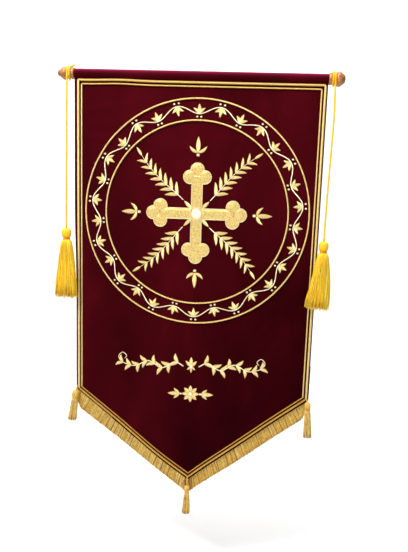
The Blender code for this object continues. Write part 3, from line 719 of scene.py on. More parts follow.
def soft_creases(x, z):
    """Creases and puckers, forwards negative.

    A crease is its height times the bell curves of the distances along and across it. The
    puckers are a cosine round each sewn ring, under a bell curve of the distance from it."""
    relief = np.zeros(np.broadcast(x, z).shape)
    for middle_x, middle_z, length, width, angle_deg, height in CREASES:
        angle = math.radians(angle_deg)
        along = (x - middle_x) * math.cos(angle) + (z - middle_z) * math.sin(angle)
        across = (z - middle_z) * math.cos(angle) - (x - middle_x) * math.sin(angle)
        relief -= height * np.exp(-(along / length) ** 2 - (across / width) ** 2)
    angle = np.arctan2(z - RING_CENTRE[1], x - RING_CENTRE[0])
    reach = np.hypot(z - RING_CENTRE[1], x - RING_CENTRE[0])
    for number, radius in enumerate(RING_RADII):
        near = np.exp(-((reach - radius) / PUCKER_REACH) ** 2)
        relief -= PUCKER_HEIGHT * near * np.cos(angle * (PUCKERS - 13 * number) + 2 * np.sin(angle * 5))
    return relief * ease(0.03, 0.09, -z)


def drawn_sideways(x, z):
    """Sideways pull of the stitching: a smooth step down the left edge and a bell curve down
    the right one, both fading out towards the middle."""
    left = DRAWN_IN * ease(DRAWN_FROM, DRAWN_FULL, -z) * ease(0.2, 1.0, -x / HALF_WIDTH)
    bell = np.exp(-((-z - GIVEN_PLACE) / GIVEN_REACH) ** 2) * ease(0.1, 0.4, -z)
    return left + GIVEN_OUT * bell * ease(0.2, 1.0, x / HALF_WIDTH)


def cloth_front(x, z):
    """Front surface of the hanging panel."""
    return -LAYER_Y - CLOTH_THICKNESS / 2 + swing(x, z) + soft_creases(x, z)


def cloth_back(x, z):
    """Back surface of the hanging panel."""
    return cloth_front(x, z) + CLOTH_THICKNESS


def arc_points(centre, radius, start, end, count):
    """Points of (y, z) on an arc of a circle, both ends included."""
    return np.array(centre) + radius * on_unit_circle(np.linspace(start, end, count))


def sleeve_profile():
    """Side view of hem and sleeve as (y, z): up the hem, round the rod and into the panel.

    Each bend under the rod is an arc that touches both the sleeve's circle and the hem or
    the panel."""
    centre_y = BEND_RADIUS + LAYER_Y
    hem = np.stack([np.full(6, LAYER_Y), np.linspace(HEM_EDGE_Z, PANEL_TOP_Z, 6)], axis=1)
    back = arc_points((centre_y, PANEL_TOP_Z), BEND_RADIUS, math.pi, math.pi - BEND_TURN, 7)
    over = arc_points((0, 0), SLEEVE_RADIUS, -BEND_TURN, math.pi + BEND_TURN, 40)
    front = arc_points((-centre_y, PANEL_TOP_Z), BEND_RADIUS, BEND_TURN, 0, 7)
    return np.concatenate([hem, back[1:], over[1:], front[1:]])


def cloth_grid():
    """Middle surface of the whole sheet, and its flat measures as a UV map in metres."""
    x = np.linspace(-HALF_WIDTH, HALF_WIDTH, CLOTH_COLUMNS + 1)[None, :]
    profile = sleeve_profile()
    down = np.linspace(0, 1, PANEL_ROWS + 1)[1:, None]
    panel_z = PANEL_TOP_Z + down * (lower_edge(x) - PANEL_TOP_Z)
    z = np.concatenate([profile[:, 1:] + 0 * x, panel_z])
    y = np.concatenate([profile[:, :1] + 0 * x, np.full(panel_z.shape, -LAYER_Y)])
    outward = np.clip(np.hypot(y, z) / SLEEVE_RADIUS - 0.9, 0, 0.1) * 10 * (z > PANEL_TOP_Z)
    waves = np.sin(x * 61 + 3 * np.sin(x * 17)) * np.cos(np.arctan2(z, y) * 2 + x * 9)
    rumple = RUMPLE_HEIGHT * (1 + waves) * outward
    y = y * (1 + rumple / SLEEVE_RADIUS)
    z = z * (1 + rumple / SLEEVE_RADIUS)
    y = y + (swing(x, z) + soft_creases(x, z)) * (z < PANEL_TOP_Z)
    x = x + drawn_sideways(x, z) * (y < 0)
    grid = np.stack([x, y, z], axis=-1)
    reach = np.concatenate([
        np.zeros((1, x.shape[1])),
        np.cumsum(np.linalg.norm(np.diff(grid, axis=0), axis=2), axis=0),
    ])
    return grid, np.stack([x, reach], axis=-1)


def sheet_mesh(name, grid, uv):
    """Open sheet of a grid of points, one face for each cell, with a UV value at each point."""
    rows, columns = grid.shape[:2]
    index = np.arange(rows * columns).reshape(rows, columns)
    quads = np.stack([index[:-1, :-1], index[1:, :-1], index[1:, 1:], index[:-1, 1:]], axis=-1).reshape(-1)
    return new_mesh(name, grid.reshape(-1, 3), quads, np.arange(0, quads.size, 4), uv.reshape(-1, 2)[quads])


def velvet_material():
    """Cotton velvet: a dark upright pile, matt from the front, that glows at grazing angles.

    The nap is brushed in faint streaks, and towards the lower right corner the colour is painted
    darker, as shade. Over the rod the colour is mixed towards a brighter purple, a painted sheen
    where the top of the sleeve takes the light. The tufts are 0.9 mm apart, coarser than real
    ones so that they show."""
    material, tree, shader = start_material(
        "burgundy_cotton_velvet", Roughness=0.92, Sheen_Weight=0.75, Sheen_Roughness=0.30,
        Sheen_Tint=linear("E03C78"), Specular_IOR_Level=0.01,
    )
    place = add_node(tree, "ShaderNodeTexCoord").outputs["Object"]
    nap = noise(tree, place, (5.0, 5.0, 2.2), detail=4.0, distortion=0.6)
    tufts = noise(tree, place, (1100, 1100, 1100))
    depth = maths(tree, "MULTIPLY_ADD", tufts, 0.22, nap)
    # Painted shade: the colour darkens towards the lower right corner
    downwards = add_node(tree, "ShaderNodeVectorMath", {
        0: place, 1: (1.25, 0, -0.75),
    }, operation="DOT_PRODUCT")
    painted_lower_right_shade = add_node(tree, "ShaderNodeMapRange", {
        "Value": downwards.outputs["Value"], "From Min": 0.55, "From Max": 1.20,
        "To Min": 0.0, "To Max": 0.34,
    }, interpolation_type="SMOOTHSTEP")
    colour = colour_ramp(tree, maths(tree, "SUBTRACT", depth, painted_lower_right_shade.outputs["Result"]), [
        (0.05, "1C0104"), (0.36, "2C0206"), (0.60, "3A040A"), (0.84, "47060E"),
    ])
    height = add_node(tree, "ShaderNodeSeparateXYZ", {0: place})
    # Painted sheen: over the rod the colour is mixed towards a brighter purple
    over_rod = add_node(tree, "ShaderNodeMapRange", {
        "Value": height.outputs["Z"], "From Min": -0.002, "From Max": SLEEVE_RADIUS,
    })
    painted_sheen_over_rod = maths(tree, "POWER", over_rod.outputs["Result"], 2.5)
    pile = add_node(tree, "ShaderNodeBump", {"Height": tufts, "Strength": 0.35, "Distance": 0.0006})
    finish_looks(tree, shader, mixed_colour(tree, painted_sheen_over_rod, colour, "741936"), nap, 0.5, 0.006)
    lie = shader.inputs["Normal"].links[0].from_node
    tree.links.new(pile.outputs["Normal"], lie.inputs["Normal"])
    return material


def velvet_back_material():
    """Woven ground of the velvet: a plain weave of dull threads 1.2 mm apart, drawn coarse,
    with slubs, which are thicker stretches of weft, as bars 60 mm long."""
    material, tree, shader = start_material("velvet_woven_ground", Roughness=0.88, Specular_IOR_Level=0.2)
    flat = add_node(tree, "ShaderNodeTexCoord").outputs["UV"]
    slubs = noise(tree, flat, (14, 420, 1), detail=3.0)
    split = add_node(tree, "ShaderNodeSeparateXYZ", {0: flat})
    waves = [
        maths(tree, "SINE", maths(tree, "MULTIPLY", split.outputs[axis], math.pi / WEAVE_PITCH))
        for axis in ("X", "Y")
    ]
    weave = maths(tree, "MULTIPLY", *waves)
    tone = maths(tree, "MULTIPLY_ADD", weave, 0.28, slubs)
    colour = colour_ramp(tree, tone, [(0.2, "380811"), (0.5, "4A0C18"), (0.8, "64182A")])
    finish_looks(tree, shader, colour, weave, 0.5, 0.0003)
    return material


def make_cloth():
    """The velvet sheet, given its thickness evenly to both sides."""
    grid, flat = cloth_grid()
    cloth = place_piece(
        sheet_mesh("velvet_cloth", grid, flat), velvet_material(), ["banner_cloth"]
    )
    cloth.data.materials.append(velvet_back_material())
    shell = cloth.modifiers.new("thickness", "SOLIDIFY")
    shell.thickness = CLOTH_THICKNESS
    shell.offset = 0
    shell.use_even_offset = True
    shell.material_offset = 1
    return cloth


cloth = make_cloth()

# Sewn gold cords
# Metallic gold cord laid on the velvet and stitched down: a thick and a thinner one all round
# near the edge, and two rings of the thinner one in the middle of the panel.
BORDERS = {
    "outer": {
        "left": 0.0133, "right": 0.0082, "low": 0.0100, "top": -0.0202,
        "radius": 0.0044, "pitch": 0.019, "follow": 0.3,
    },
    "inner": {
        "left": 0.0238, "right": 0.0188, "low": 0.0199, "top": -0.0318,
        "radius": 0.0028, "pitch": 0.015, "follow": 0.1,
    },
}
# Level and slanted runs are painted darker than upright ones, as shade, and slanted runs are slimmer
LEVEL_RUN_SHADE = 0.14
SLANT_RUN_SHADE = 0.27
SLANT_SLIMMER = 0.16
# The top run was sewn a little off straight, by this much at its worst place
WOBBLE_HEIGHT = 0.0026
WOBBLE_PLACE = -0.255
WOBBLE_WIDTH = 0.065
BORDER_CORNER = 0.0008
LOWER_RUN_ABOVE = 0.02
TOP_RUN_FROM = -0.05
OUTLINE_STEP = 0.0014
RING_CORD_RADIUS = 0.0030
RING_CORD_PITCH = 0.015
SUNK_SHARE = 0.15
GOLD_STOPS = [(0.0, "5C2808"), (0.26, "A86C20"), (0.50, "D2AA4A"), (0.70, "F0DA92"), (0.86, "FFFCE0")]
sewn_outlines = []
gold_cord = yarn_material(
    "metallic_gold_cord", GOLD_STOPS, filament_mm=0.9, bump_height=0.00022, fleck_share=0.35,
    Roughness=0.40, Metallic=0.22, Specular_IOR_Level=0.25,
)


def border_corners(border):
    """Corners of a border as (x, z): level with the top, and inset from the other edges."""
    left, right = -HALF_WIDTH + border["left"], HALF_WIDTH - border["right"]
    rise = border["low"] / math.cos(SLOPE_ANGLE)
    lower = [(x, rise - SIDE_DROP - (HALF_WIDTH - abs(x)) * POINT_SLOPE) for x in (right, 0, left)]
    return [(left, border["top"]), (right, border["top"])] + lower


def rounded_outline(corners, radius, step):
    """Closed outline at even steps, each corner replaced by a parabola between its two sides.

    The parabola is (1 - t)^2 of the point before, 2 t (1 - t) of the corner, t^2 of the point
    after, both points lying the given radius from the corner."""
    corner = np.asarray(corners, dtype=float)
    before = corner + unit(np.roll(corner, 1, axis=0) - corner) * radius
    after = corner + unit(np.roll(corner, -1, axis=0) - corner) * radius
    share = np.linspace(0, 1, 14)[None, :, None]
    before, corner, after = (points[:, None] for points in (before, corner, after))
    bend = (1 - share) ** 2 * before + 2 * share * (1 - share) * corner + share ** 2 * after
    return closed_route(bend.reshape(-1, 2), step)


def closed_route(outline, step):
    """Even points round a closed outline, the first one not said twice."""
    return even_route(np.concatenate([outline, outline[:1]]), step)[:-1]


def on_velvet(places, lift, surface=cloth_front):
    """Points at (x, z) places, lifted forwards off the panel's front or another surface of it."""
    y = surface(places[..., 0], places[..., 1]) - lift
    return np.stack([places[..., 0], y, places[..., 1]], axis=-1)


def sewn_cord(name, outline, radius, pitch, stands_for, slimming_and_shade=0.0):
    """Looped gold cord on the cloth, pressed a little into the pile.

    A run's level share is the square of its direction's sideways part, and its slanted share
    is twice the product of both parts. By them, and by the last argument, its radius falls and its
    tone is painted darker, as shade. The tone is also painted lighter on the plies' crests, and
    darker in their furrows and on the sides turned back towards the cloth, as shade."""
    run = unit(np.roll(outline, -1, axis=0) - np.roll(outline, 1, axis=0))
    slant = np.abs(2 * run[:, 0] * run[:, 1])[:, None]
    size = radius * (1 - slimming_and_shade * SLANT_SLIMMER * slant)
    path = on_velvet(outline, size[:, 0] * (1 - SUNK_SHARE))
    grid, lobes = twisted_tube(path, FORWARDS, size, 3, pitch, 12, depth=0.26, looped=True)
    # Painted shade on the sides turned back towards the cloth, in the plies' furrows, and on level and
    # slanted runs
    front = np.clip((path[:, None, 1] - grid[..., 1]) / size, 0, 1)
    bright = 1 - slimming_and_shade * (LEVEL_RUN_SHADE * run[:, :1] ** 2 + SLANT_RUN_SHADE * slant)
    tones = (0.3 + 0.7 * lobes) * (0.22 + 0.78 * front ** 1.6) * bright
    place_grids(name, grid, tones, gold_cord, "gold_thread", [stands_for], looped=True)
    sewn_outlines.append(outline)


for border_name, border in BORDERS.items():
    outline = rounded_outline(border_corners(border), BORDER_CORNER, OUTLINE_STEP)
    wobble = WOBBLE_HEIGHT * np.exp(-((outline[:, 0] - WOBBLE_PLACE) / WOBBLE_WIDTH) ** 2)
    outline[:, 1] += wobble * (outline[:, 1] > TOP_RUN_FROM)
    outline[:, 1] -= edge_sag(outline[:, 0]) * (outline[:, 1] < -SIDE_DROP + LOWER_RUN_ABOVE)
    outline[:, 0] += border["follow"] * drawn_sideways(outline[:, 0], outline[:, 1])
    sewn_cord(
        "border_cord_" + border_name, outline, border["radius"], border["pitch"], "border_" + border_name,
        slimming_and_shade=1.0,
    )
for ring_name, ring_radius in zip(BORDERS, RING_RADII):
    angle = full_turn(int(2 * np.pi * ring_radius / OUTLINE_STEP))
    outline = RING_CENTRE + ring_radius * on_unit_circle(angle)
    sewn_cord("ring_cord_" + ring_name, outline, RING_CORD_RADIUS, RING_CORD_PITCH, "ring_" + ring_name)

# Stitches on the back
# Burgundy sewing thread: the machine stitches that close the sleeve, and those that hold the
# border cords and rings, as they come through the woven ground.
STITCH_STEP = 0.0042
STITCH_SHARE = 0.8
STITCH_RADIUS = 0.0003
STITCH_LIFT = 0.0002
HEM_STITCH_Z = HEM_EDGE_Z + 0.004
HEM_STITCH_INSET = 0.006


def thread_material():
    """Mercerised cotton thread: a slight shine, lighter and redder than the ground behind it."""
    material, tree, shader = start_material("burgundy_sewing_thread", Roughness=0.5, Specular_IOR_Level=0.4)
    place = add_node(tree, "ShaderNodeTexCoord").outputs["Object"]
    colour = colour_ramp(tree, noise(tree, place, (900, 900, 900)), [(0.3, "5A1422"), (0.7, "8C3444")])
    finish_looks(tree, shader, colour)
    return material


sewing_thread = thread_material()


def stitch_grids(outline, surface):
    """Grids of stitches along an outline of (x, z), on a surface given as a function of them.

    A stitch is a thin tube over a share of each step, and stands off by a half sine wave."""
    marks = even_route(outline, STITCH_STEP)
    t = np.linspace(0, 1, 5)[None, :, None]
    place = marks[:-1, None] + (marks[1:] - marks[:-1])[:, None] * t * STITCH_SHARE
    lines = on_velvet(place, -STITCH_LIFT * np.sin(np.pi * t[..., 0]), surface)
    return thread_tubes(lines, np.full(lines.shape[:2], STITCH_RADIUS), sides=3)


def hem_back(x, z):
    """Back surface of the turned-over hem, one layer of cloth behind the panel."""
    return cloth_back(x, z) + CLOTH_THICKNESS + SEAT


def make_back_stitches():
    """Row along the hem, and rows along each cord where the hem doesn't cover them."""
    reach = HALF_WIDTH - HEM_STITCH_INSET
    rows = [stitch_grids(np.array([(-reach, HEM_STITCH_Z), (reach, HEM_STITCH_Z)]), hem_back)]
    for outline in sewn_outlines:
        rows.append(stitch_grids(np.concatenate([outline, outline[:1]]), cloth_back))
    stitches = np.concatenate(rows)
    height = stitches[..., 2].max(axis=(1, 2))
    covered = (height > HEM_EDGE_Z - STITCH_STEP) & (height < HEM_STITCH_Z - STITCH_STEP / 2)
    covered |= height > HEM_STITCH_Z + STITCH_STEP / 2
    place_grids("back_stitches", stitches[~covered], None, sewing_thread, "burgundy_velvet")


make_back_stitches()

# Vine between the rings
# Padded satin stitch in gold thread: a stem that waves from ring to ring, with a three-part
# leaf in each hollow and a pair of berries behind each bend.
VINE_WAVES = 15
VINE_SWAY = 0.0135
STITCH_MM = 0.9
VINE_STEM_HALF = 0.0021
# Each leaf has a middle part and one part turned to either side
VINE_LEAF_LENGTHS = [0.031, 0.026, 0.026]
VINE_LEAF_WIDTHS = [0.0125, 0.0105, 0.0105]
VINE_LEAF_TURN_DEG = 47
BERRY_RADIUS = 0.0036
BERRY_BEYOND = 0.0095
BERRY_TURNS = (-0.021, 0.021)


def satin_material():
    """Gold satin stitch: bright smooth threads laid side by side across each shape, one ridge
    every 0.9 mm, duller where the light runs along them."""
    material, tree, shader = start_material("gold_satin_stitch", Roughness=0.33, Metallic=0.4)
    place = add_node(tree, "ShaderNodeTexCoord")
    tone = add_node(tree, "ShaderNodeAttribute", attribute_name="tone").outputs["Fac"]
    flecks = noise(tree, place.outputs["Object"], (420, 420, 420), detail=3.0)
    mixed = maths(tree, "MULTIPLY_ADD", flecks, 0.4, tone)
    colour = colour_ramp(tree, maths(tree, "SUBTRACT", mixed, 0.2), GOLD_STOPS)
    split = add_node(tree, "ShaderNodeSeparateXYZ", {0: place.outputs["UV"]})
    turned = maths(tree, "MULTIPLY", split.outputs["X"], 2 * math.pi / (STITCH_MM / 1000))
    finish_looks(tree, shader, colour, maths(tree, "SINE", turned), 0.7, 0.00025)
    return material


gold_satin = satin_material()


def satin_grid(middles, half_widths, heights, sides=12, furrow=0.0):
    """Padded stitching along middle lines on the velvet, as grids and their tones.

    middles is (copies, along, 2) as (x, z). Across a line the stitches form half an ellipse:
    half_width * cos(a) sideways and height * sin(a) forwards, pressed 12% into the pile
    underneath. A furrow takes its share off the middle, as in a leaf stitched from two sides.
    The tone is painted brightest on top, as a highlight, and darker at the edges and in a furrow, as shade."""
    along = unit(np.gradient(middles, axis=1))
    side = np.stack([-along[..., 1], along[..., 0]], axis=-1)
    angle = full_turn(sides) + np.pi / sides
    rise = np.maximum(np.sin(angle), -0.12)
    rise = rise * (1 - furrow * np.exp(-(np.cos(angle) / 0.3) ** 2))
    place = middles[:, :, None, :] + (side * half_widths[..., None])[:, :, None, :] * np.cos(angle)[:, None]
    grids = on_velvet(place, heights[..., None] * rise)
    return grids, np.broadcast_to(0.02 + 0.98 * np.clip(rise, 0, 1) ** 1.3, grids.shape[:3])


def leaf_grids(bases, headings, lengths, widths, bends, height=0.0026, along=13, furrow=0.45):
    """Grids of leaves, each a satin shape from its base along its heading.

    The middle line bows sideways by bend * sin(pi t), and the half width is half the width
    times sin(pi t ^ 0.8) ^ 0.85, so the leaf is widest near its base and ends in a point."""
    t = np.linspace(0, 1, along)[None, :]
    sizes = (lengths, widths, bends)
    lengths, widths, bends = (np.broadcast_to(size, len(bases))[:, None] for size in sizes)
    ahead = on_unit_circle(headings)[:, None, :]
    aside = on_unit_circle(headings + np.pi / 2)[:, None, :]
    bow = (bends * np.sin(np.pi * t))[..., None]
    middles = bases[:, None, :] + ahead * (lengths * t)[..., None] + aside * bow
    shape = np.clip(np.sin(np.pi * t ** 0.8), 0, 1) ** 0.85
    return satin_grid(middles, widths / 2 * shape + 0.0002, height * shape ** 0.6 + 0.0003, furrow=furrow)


def berry_grids(centres, radius, height=0.0028):
    """Grids of round padded dots: half circles in outline along the width."""
    t = np.linspace(0, 1, 9)
    across = np.sqrt(np.clip(1 - (2 * t - 1) ** 2, 0.01, 1))
    middles = centres[:, None, :] + np.stack([(2 * t - 1) * radius, 0 * t], axis=1)[None]
    count = len(centres)
    return satin_grid(middles, np.tile(radius * across, (count, 1)), np.tile(height * across, (count, 1)))


def embroider(name, shapes, looped=False):
    """Places (grids, tones) of like shapes as one piece of gold satin stitch."""
    place_grids(name, *shapes, gold_satin, "gold_thread", looped=looped)


def on_circle(angle, radius):
    """Places on a circle round the rings' centre."""
    return RING_CENTRE + on_unit_circle(angle) * np.asarray(radius)[..., None]


def make_vine():
    """Stem, leaves and berries of the vine."""
    middle = sum(RING_RADII) / 2
    angle = full_turn(1400)
    stem_line = on_circle(angle, middle + VINE_SWAY * np.sin(VINE_WAVES * angle))[None]
    size = np.ones((1, len(angle)))
    embroider("vine_stem", satin_grid(stem_line, size * VINE_STEM_HALF, size * 0.0022, sides=8), looped=True)
    bends = (np.arange(2 * VINE_WAVES) + 0.5) * np.pi / VINE_WAVES
    out = np.where(np.arange(2 * VINE_WAVES) % 2 == 0, 1.0, -1.0)
    bases = on_circle(bends, middle + VINE_SWAY * out)
    inward = bends + np.where(out > 0, np.pi, 0)
    turn = math.radians(VINE_LEAF_TURN_DEG)
    headings = np.concatenate([inward, inward - turn, inward + turn])
    lengths = np.repeat(VINE_LEAF_LENGTHS, len(bends))
    widths = np.repeat(VINE_LEAF_WIDTHS, len(bends))
    bows = np.repeat([0.0, 0.002, -0.002], len(bends))
    leaves = leaf_grids(np.tile(bases, (3, 1)), headings, lengths, widths, bows)
    spots = [on_circle(bends + shift, middle + (VINE_SWAY + BERRY_BEYOND) * out) for shift in BERRY_TURNS]
    embroider("vine_leaves", leaves)
    embroider("vine_berries", berry_grids(np.concatenate(spots), BERRY_RADIUS))


make_vine()

# Cross and olive sprigs
# A padded cross with budded arms, filled with clipped gold purl and edged with a fine cord,
# a raised boss in its middle, and satin-stitched olive sprigs between its arms.
CROSS_ARM = 0.118
CROSS_HALF_BAR = 0.017
BUD_RADIUS = 0.0215
BUD_OFFSET = 0.0235
CROSS_HEIGHT = 0.0036
EDGE_CORD_RADIUS = 0.0016
EDGE_CORD_PITCH = 0.006
BOSS_RADIUS = 0.0215
SPRIG_FROM = 0.062
SPRIG_TO = 0.256
SPRIG_PAIRS = 7
SPRIG_POINTS = 60
SPRIG_STEM = 0.0019
SPRIG_SPREAD = math.radians(42)
OLIVE_ASIDE = 0.0095
OLIVE_RADIUS = 0.0040
FLEURON_PLACE = 0.196


def purl_material():
    """Clipped gold purl: short bits of coiled wire sewn down close, in all directions, each
    about 2 mm across, so the surface glitters in grains. Each grain is painted pale in its middle,
    as a glint, and brown towards its edges, as shade between the bits."""
    material, tree, shader = start_material("clipped_gold_purl", Roughness=0.34, Metallic=0.4)
    place = add_node(tree, "ShaderNodeTexCoord").outputs["Object"]
    bits = add_node(tree, "ShaderNodeTexVoronoi", {"Vector": place, "Scale": 520.0}, feature="F1")
    # Painted glint in each grain's middle and painted shade towards its edges
    colour = colour_ramp(tree, bits.outputs["Distance"], [
        (0.0, "FFF3C4"), (0.35, "F0DA8E"), (0.7, "CFA648"), (1.0, "8A6020"),
    ])
    finish_looks(tree, shader, colour, bits.outputs["Distance"], 0.8, 0.0006, invert=True)
    return material


gold_purl = purl_material()


def cross_outline():
    """Outline of the cross: one arm with its three round buds, turned four times.

    The side buds are centred BUD_OFFSET beside the arm's end and the top bud as far above it.
    Neighbouring circles meet where their distances to both centres are equal."""
    meet = (BUD_OFFSET + math.sqrt(2 * BUD_RADIUS ** 2 - BUD_OFFSET ** 2)) / 2
    side = CROSS_HALF_BAR - BUD_OFFSET
    root = math.sqrt(BUD_RADIUS ** 2 - side ** 2)
    top_start = math.atan2(meet - BUD_OFFSET, meet)
    right = arc_points(
        (BUD_OFFSET, CROSS_ARM), BUD_RADIUS, math.atan2(-root, side), math.atan2(meet, meet - BUD_OFFSET), 30
    )
    top = arc_points((0, CROSS_ARM + BUD_OFFSET), BUD_RADIUS, top_start, math.pi - top_start, 30)
    left = right[::-1] * [-1, 1]
    arm = np.concatenate([[(CROSS_HALF_BAR, CROSS_HALF_BAR)], right, top[1:-1], left])
    quarters = []
    for quarter in range(4):
        turn = quarter * np.pi / 2
        quarters.append(arm @ on_unit_circle(np.array([turn, turn + np.pi / 2])))
    return RING_CENTRE + np.concatenate(quarters)


def bar_grids(turns):
    """Grids of the cross's bars from its middle to the arms' ends, round-backed."""
    t = np.linspace(0, 1, 30)[None, :]
    reach = t * (CROSS_ARM + 0.004)
    middles = on_circle(np.broadcast_to(turns[:, None], (len(turns), 30)), reach)
    size = np.ones((len(turns), 30))
    return satin_grid(middles, size * (CROSS_HALF_BAR - 0.0006), size * CROSS_HEIGHT, sides=20)


def make_cross():
    """Bars, buds, boss and edging of the cross."""
    turns = np.arange(4) * np.pi / 2
    bars, bar_tones = bar_grids(turns)
    place_grids("cross_bars", bars, bar_tones, gold_purl, "gold_thread", ["cross"])
    ends = on_circle(turns, CROSS_ARM + BUD_OFFSET)
    shoulders = [
        on_circle(turns + math.atan2(BUD_OFFSET * hand, CROSS_ARM), math.hypot(BUD_OFFSET, CROSS_ARM))
        for hand in (-1, 1)
    ]
    buds, bud_tones = round_pads(np.concatenate([ends] + shoulders), BUD_RADIUS - 0.0006, CROSS_HEIGHT * 1.25)
    place_grids("cross_buds", buds, bud_tones, gold_purl, "gold_thread", ["cross"])
    embroider("cross_boss", round_pads(RING_CENTRE[None], BOSS_RADIUS, CROSS_HEIGHT * 1.9))
    corners = turns + np.pi / 4
    embroider("cross_corner_leaves", leaf_grids(on_circle(corners, 0.024), corners, 0.034, 0.0125, 0.0))
    edge_cord("cross_edging", closed_route(cross_outline(), 0.0009), EDGE_CORD_RADIUS * 0.9, 0.2)
    edge_cord("cross_boss_rim", on_circle(full_turn(180), BOSS_RADIUS), CROSS_HEIGHT * 0.9, 0.0)


def edge_cord(name, outline, lift, furrow_shade_tone):
    """Fine two-ply cord round a closed outline, its furrows painted darker by the furrow tone, as shade."""
    path = on_velvet(outline, lift)
    grid, lobes = twisted_tube(path, FORWARDS, EDGE_CORD_RADIUS, 2, EDGE_CORD_PITCH, 8, looped=True)
    tones = furrow_shade_tone + (1 - furrow_shade_tone) * lobes
    place_grids(name, grid, tones, gold_cord, "gold_thread", looped=True)


def round_pads(centres, radius, height):
    """Domed round pads: rings of a half ellipse from the middle outwards, flat below. Their tone is painted
    brightest on top, as a highlight, and darker towards the rim, as shade.
    """
    outward = np.concatenate([np.sin(np.linspace(0.03, np.pi / 2, 10)), [0.96, 0.02]]) * radius
    forward = np.concatenate([np.cos(np.linspace(0.03, np.pi / 2, 10)), [-0.1, -0.1]]) * height
    place = centres[:, None, None, :] + outward[:, None, None] * on_unit_circle(full_turn(28))
    grids = on_velvet(place, forward[:, None])
    return grids, np.broadcast_to(0.25 + 0.75 * np.clip(forward / height, 0, 1)[:, None], grids.shape[:3])


def places_along(line, share):
    """Places at shares of the way along a line of even points, and the line's angles there."""
    spot = share * (len(line) - 1)
    numbers = np.arange(len(line))
    x, z, run, climb = (np.interp(spot, numbers, row) for row in (*line.T, *np.gradient(line, axis=0).T))
    return np.stack([x, z], axis=1), np.arctan2(climb, run)


def sprig_parts(turn):
    """Stem, leaf pairs with an end leaf, and olives of one sprig that grows outwards at a turn."""
    reach = np.linspace(SPRIG_FROM, SPRIG_TO, SPRIG_POINTS)
    stem_line = on_circle(turn + 0.05 * np.sin((reach - SPRIG_FROM) * 16), reach)
    thickness = SPRIG_STEM * (1 - 0.55 * np.linspace(0, 1, SPRIG_POINTS))[None]
    stem = satin_grid(stem_line[None], thickness, thickness, sides=8)
    share = np.linspace(0.12, 0.86, SPRIG_PAIRS)
    places, slopes = places_along(stem_line, np.append(share, 1.0))
    pairs, slope = places[:-1], slopes[:-1]
    lengths = 0.045 - 0.014 * share
    headings = np.concatenate([slope - SPRIG_SPREAD, slope + SPRIG_SPREAD, slopes[-1:]])
    sizes = np.concatenate([lengths, lengths, [0.033]])
    bows = np.concatenate([np.full(SPRIG_PAIRS, 0.0025), np.full(SPRIG_PAIRS, -0.0025), [0]])
    leaves = leaf_grids(np.concatenate([pairs, places]), headings, sizes, sizes * 0.29, bows)
    hands = np.where(np.arange(SPRIG_PAIRS - 1) % 2 == 0, 1, -1)
    aside = on_unit_circle((slope[:-1] + slope[1:]) / 2 + 1.25 * hands)
    centres = (pairs[:-1] + pairs[1:]) / 2 + aside * OLIVE_ASIDE
    return stem, leaves, berry_grids(centres[1:-1], OLIVE_RADIUS)


def make_sprigs():
    """Four sprigs between the arms, and a three-leaf fleuron beyond the end of each arm."""
    sprigs = [sprig_parts(math.radians(45 + 90 * quarter)) for quarter in range(4)]
    for kind, shapes in zip(("stems", "leaves", "olives"), zip(*sprigs)):
        embroider("sprig_" + kind, [np.concatenate(parts) for parts in zip(*shapes)])
    turns = np.arange(4) * np.pi / 2
    bases = np.tile(on_circle(turns, FLEURON_PLACE), (3, 1))
    headings = np.concatenate([turns, turns - 0.95, turns + 0.95])
    lengths = np.repeat([0.050, 0.034, 0.034], 4)
    bows = np.repeat([0.0, -0.004, 0.004], 4)
    embroider("fleuron_leaves", leaf_grids(bases, headings, lengths, lengths * 0.32, bows))
    embroider("fleuron_dots", berry_grids(on_circle(turns, FLEURON_PLACE - 0.008), 0.0055))


make_cross()
make_sprigs()

# Lower spray and rosette
# Under the rings a pair of mirrored scrolling sprays in gold satin stitch, and below them a
# rosette of eight petals with a small leaf group on each side.
SPRAY_ROUTE = [
    (0.026, -0.949), (0.056, -0.936), (0.100, -0.958), (0.146, -0.936), (0.192, -0.956),
    (0.236, -0.946), (0.249, -0.926), (0.236, -0.911), (0.222, -0.922), (0.229, -0.933),
]
SPRAY_LEAVES = 8
SPRAY_STEM = 0.0024
ROSETTE_PLACE = np.array([0.0, -1.047])
ROSETTE_PETALS = 8


def make_spray():
    """Right-hand spray, its mirror image, and six leaves round a dot between them."""
    route = smooth_route([(x, z, 0) for x, z in SPRAY_ROUTE], 0.003)[:, :2]
    thickness = SPRAY_STEM * (1 - 0.5 * np.linspace(0, 1, len(route)) ** 2)[None]
    share = np.linspace(0.07, 0.74, SPRAY_LEAVES)
    places, slope = places_along(route, share)
    headings = np.concatenate([slope + 0.85, slope - 0.85])
    sizes = np.tile(0.034 - 0.007 * share, 2)
    bows = np.repeat([-0.004, 0.004], SPRAY_LEAVES)
    for hand, side_name in ((1, "right"), (-1, "left")):
        flip = np.array([hand, 1])
        turned = headings if hand > 0 else np.pi - headings
        embroider("spray_stem_" + side_name, satin_grid((route * flip)[None], thickness, thickness, sides=8))
        bases = np.tile(places, (2, 1)) * flip
        embroider("spray_leaves_" + side_name, leaf_grids(bases, turned, sizes, sizes * 0.42, bows * hand))
    headings = np.pi / 2 + np.array([0, -0.75, 0.75, np.pi, np.pi - 0.9, np.pi + 0.9])
    lengths = np.array([0.034, 0.028, 0.028, 0.022, 0.018, 0.018])
    middle = np.tile([0.0, -0.950], (6, 1))
    embroider("spray_middle_leaves", leaf_grids(middle, headings, lengths, lengths * 0.42, 0.0))
    embroider("spray_middle_dot", round_pads(middle[:1], 0.0062, 0.0040))


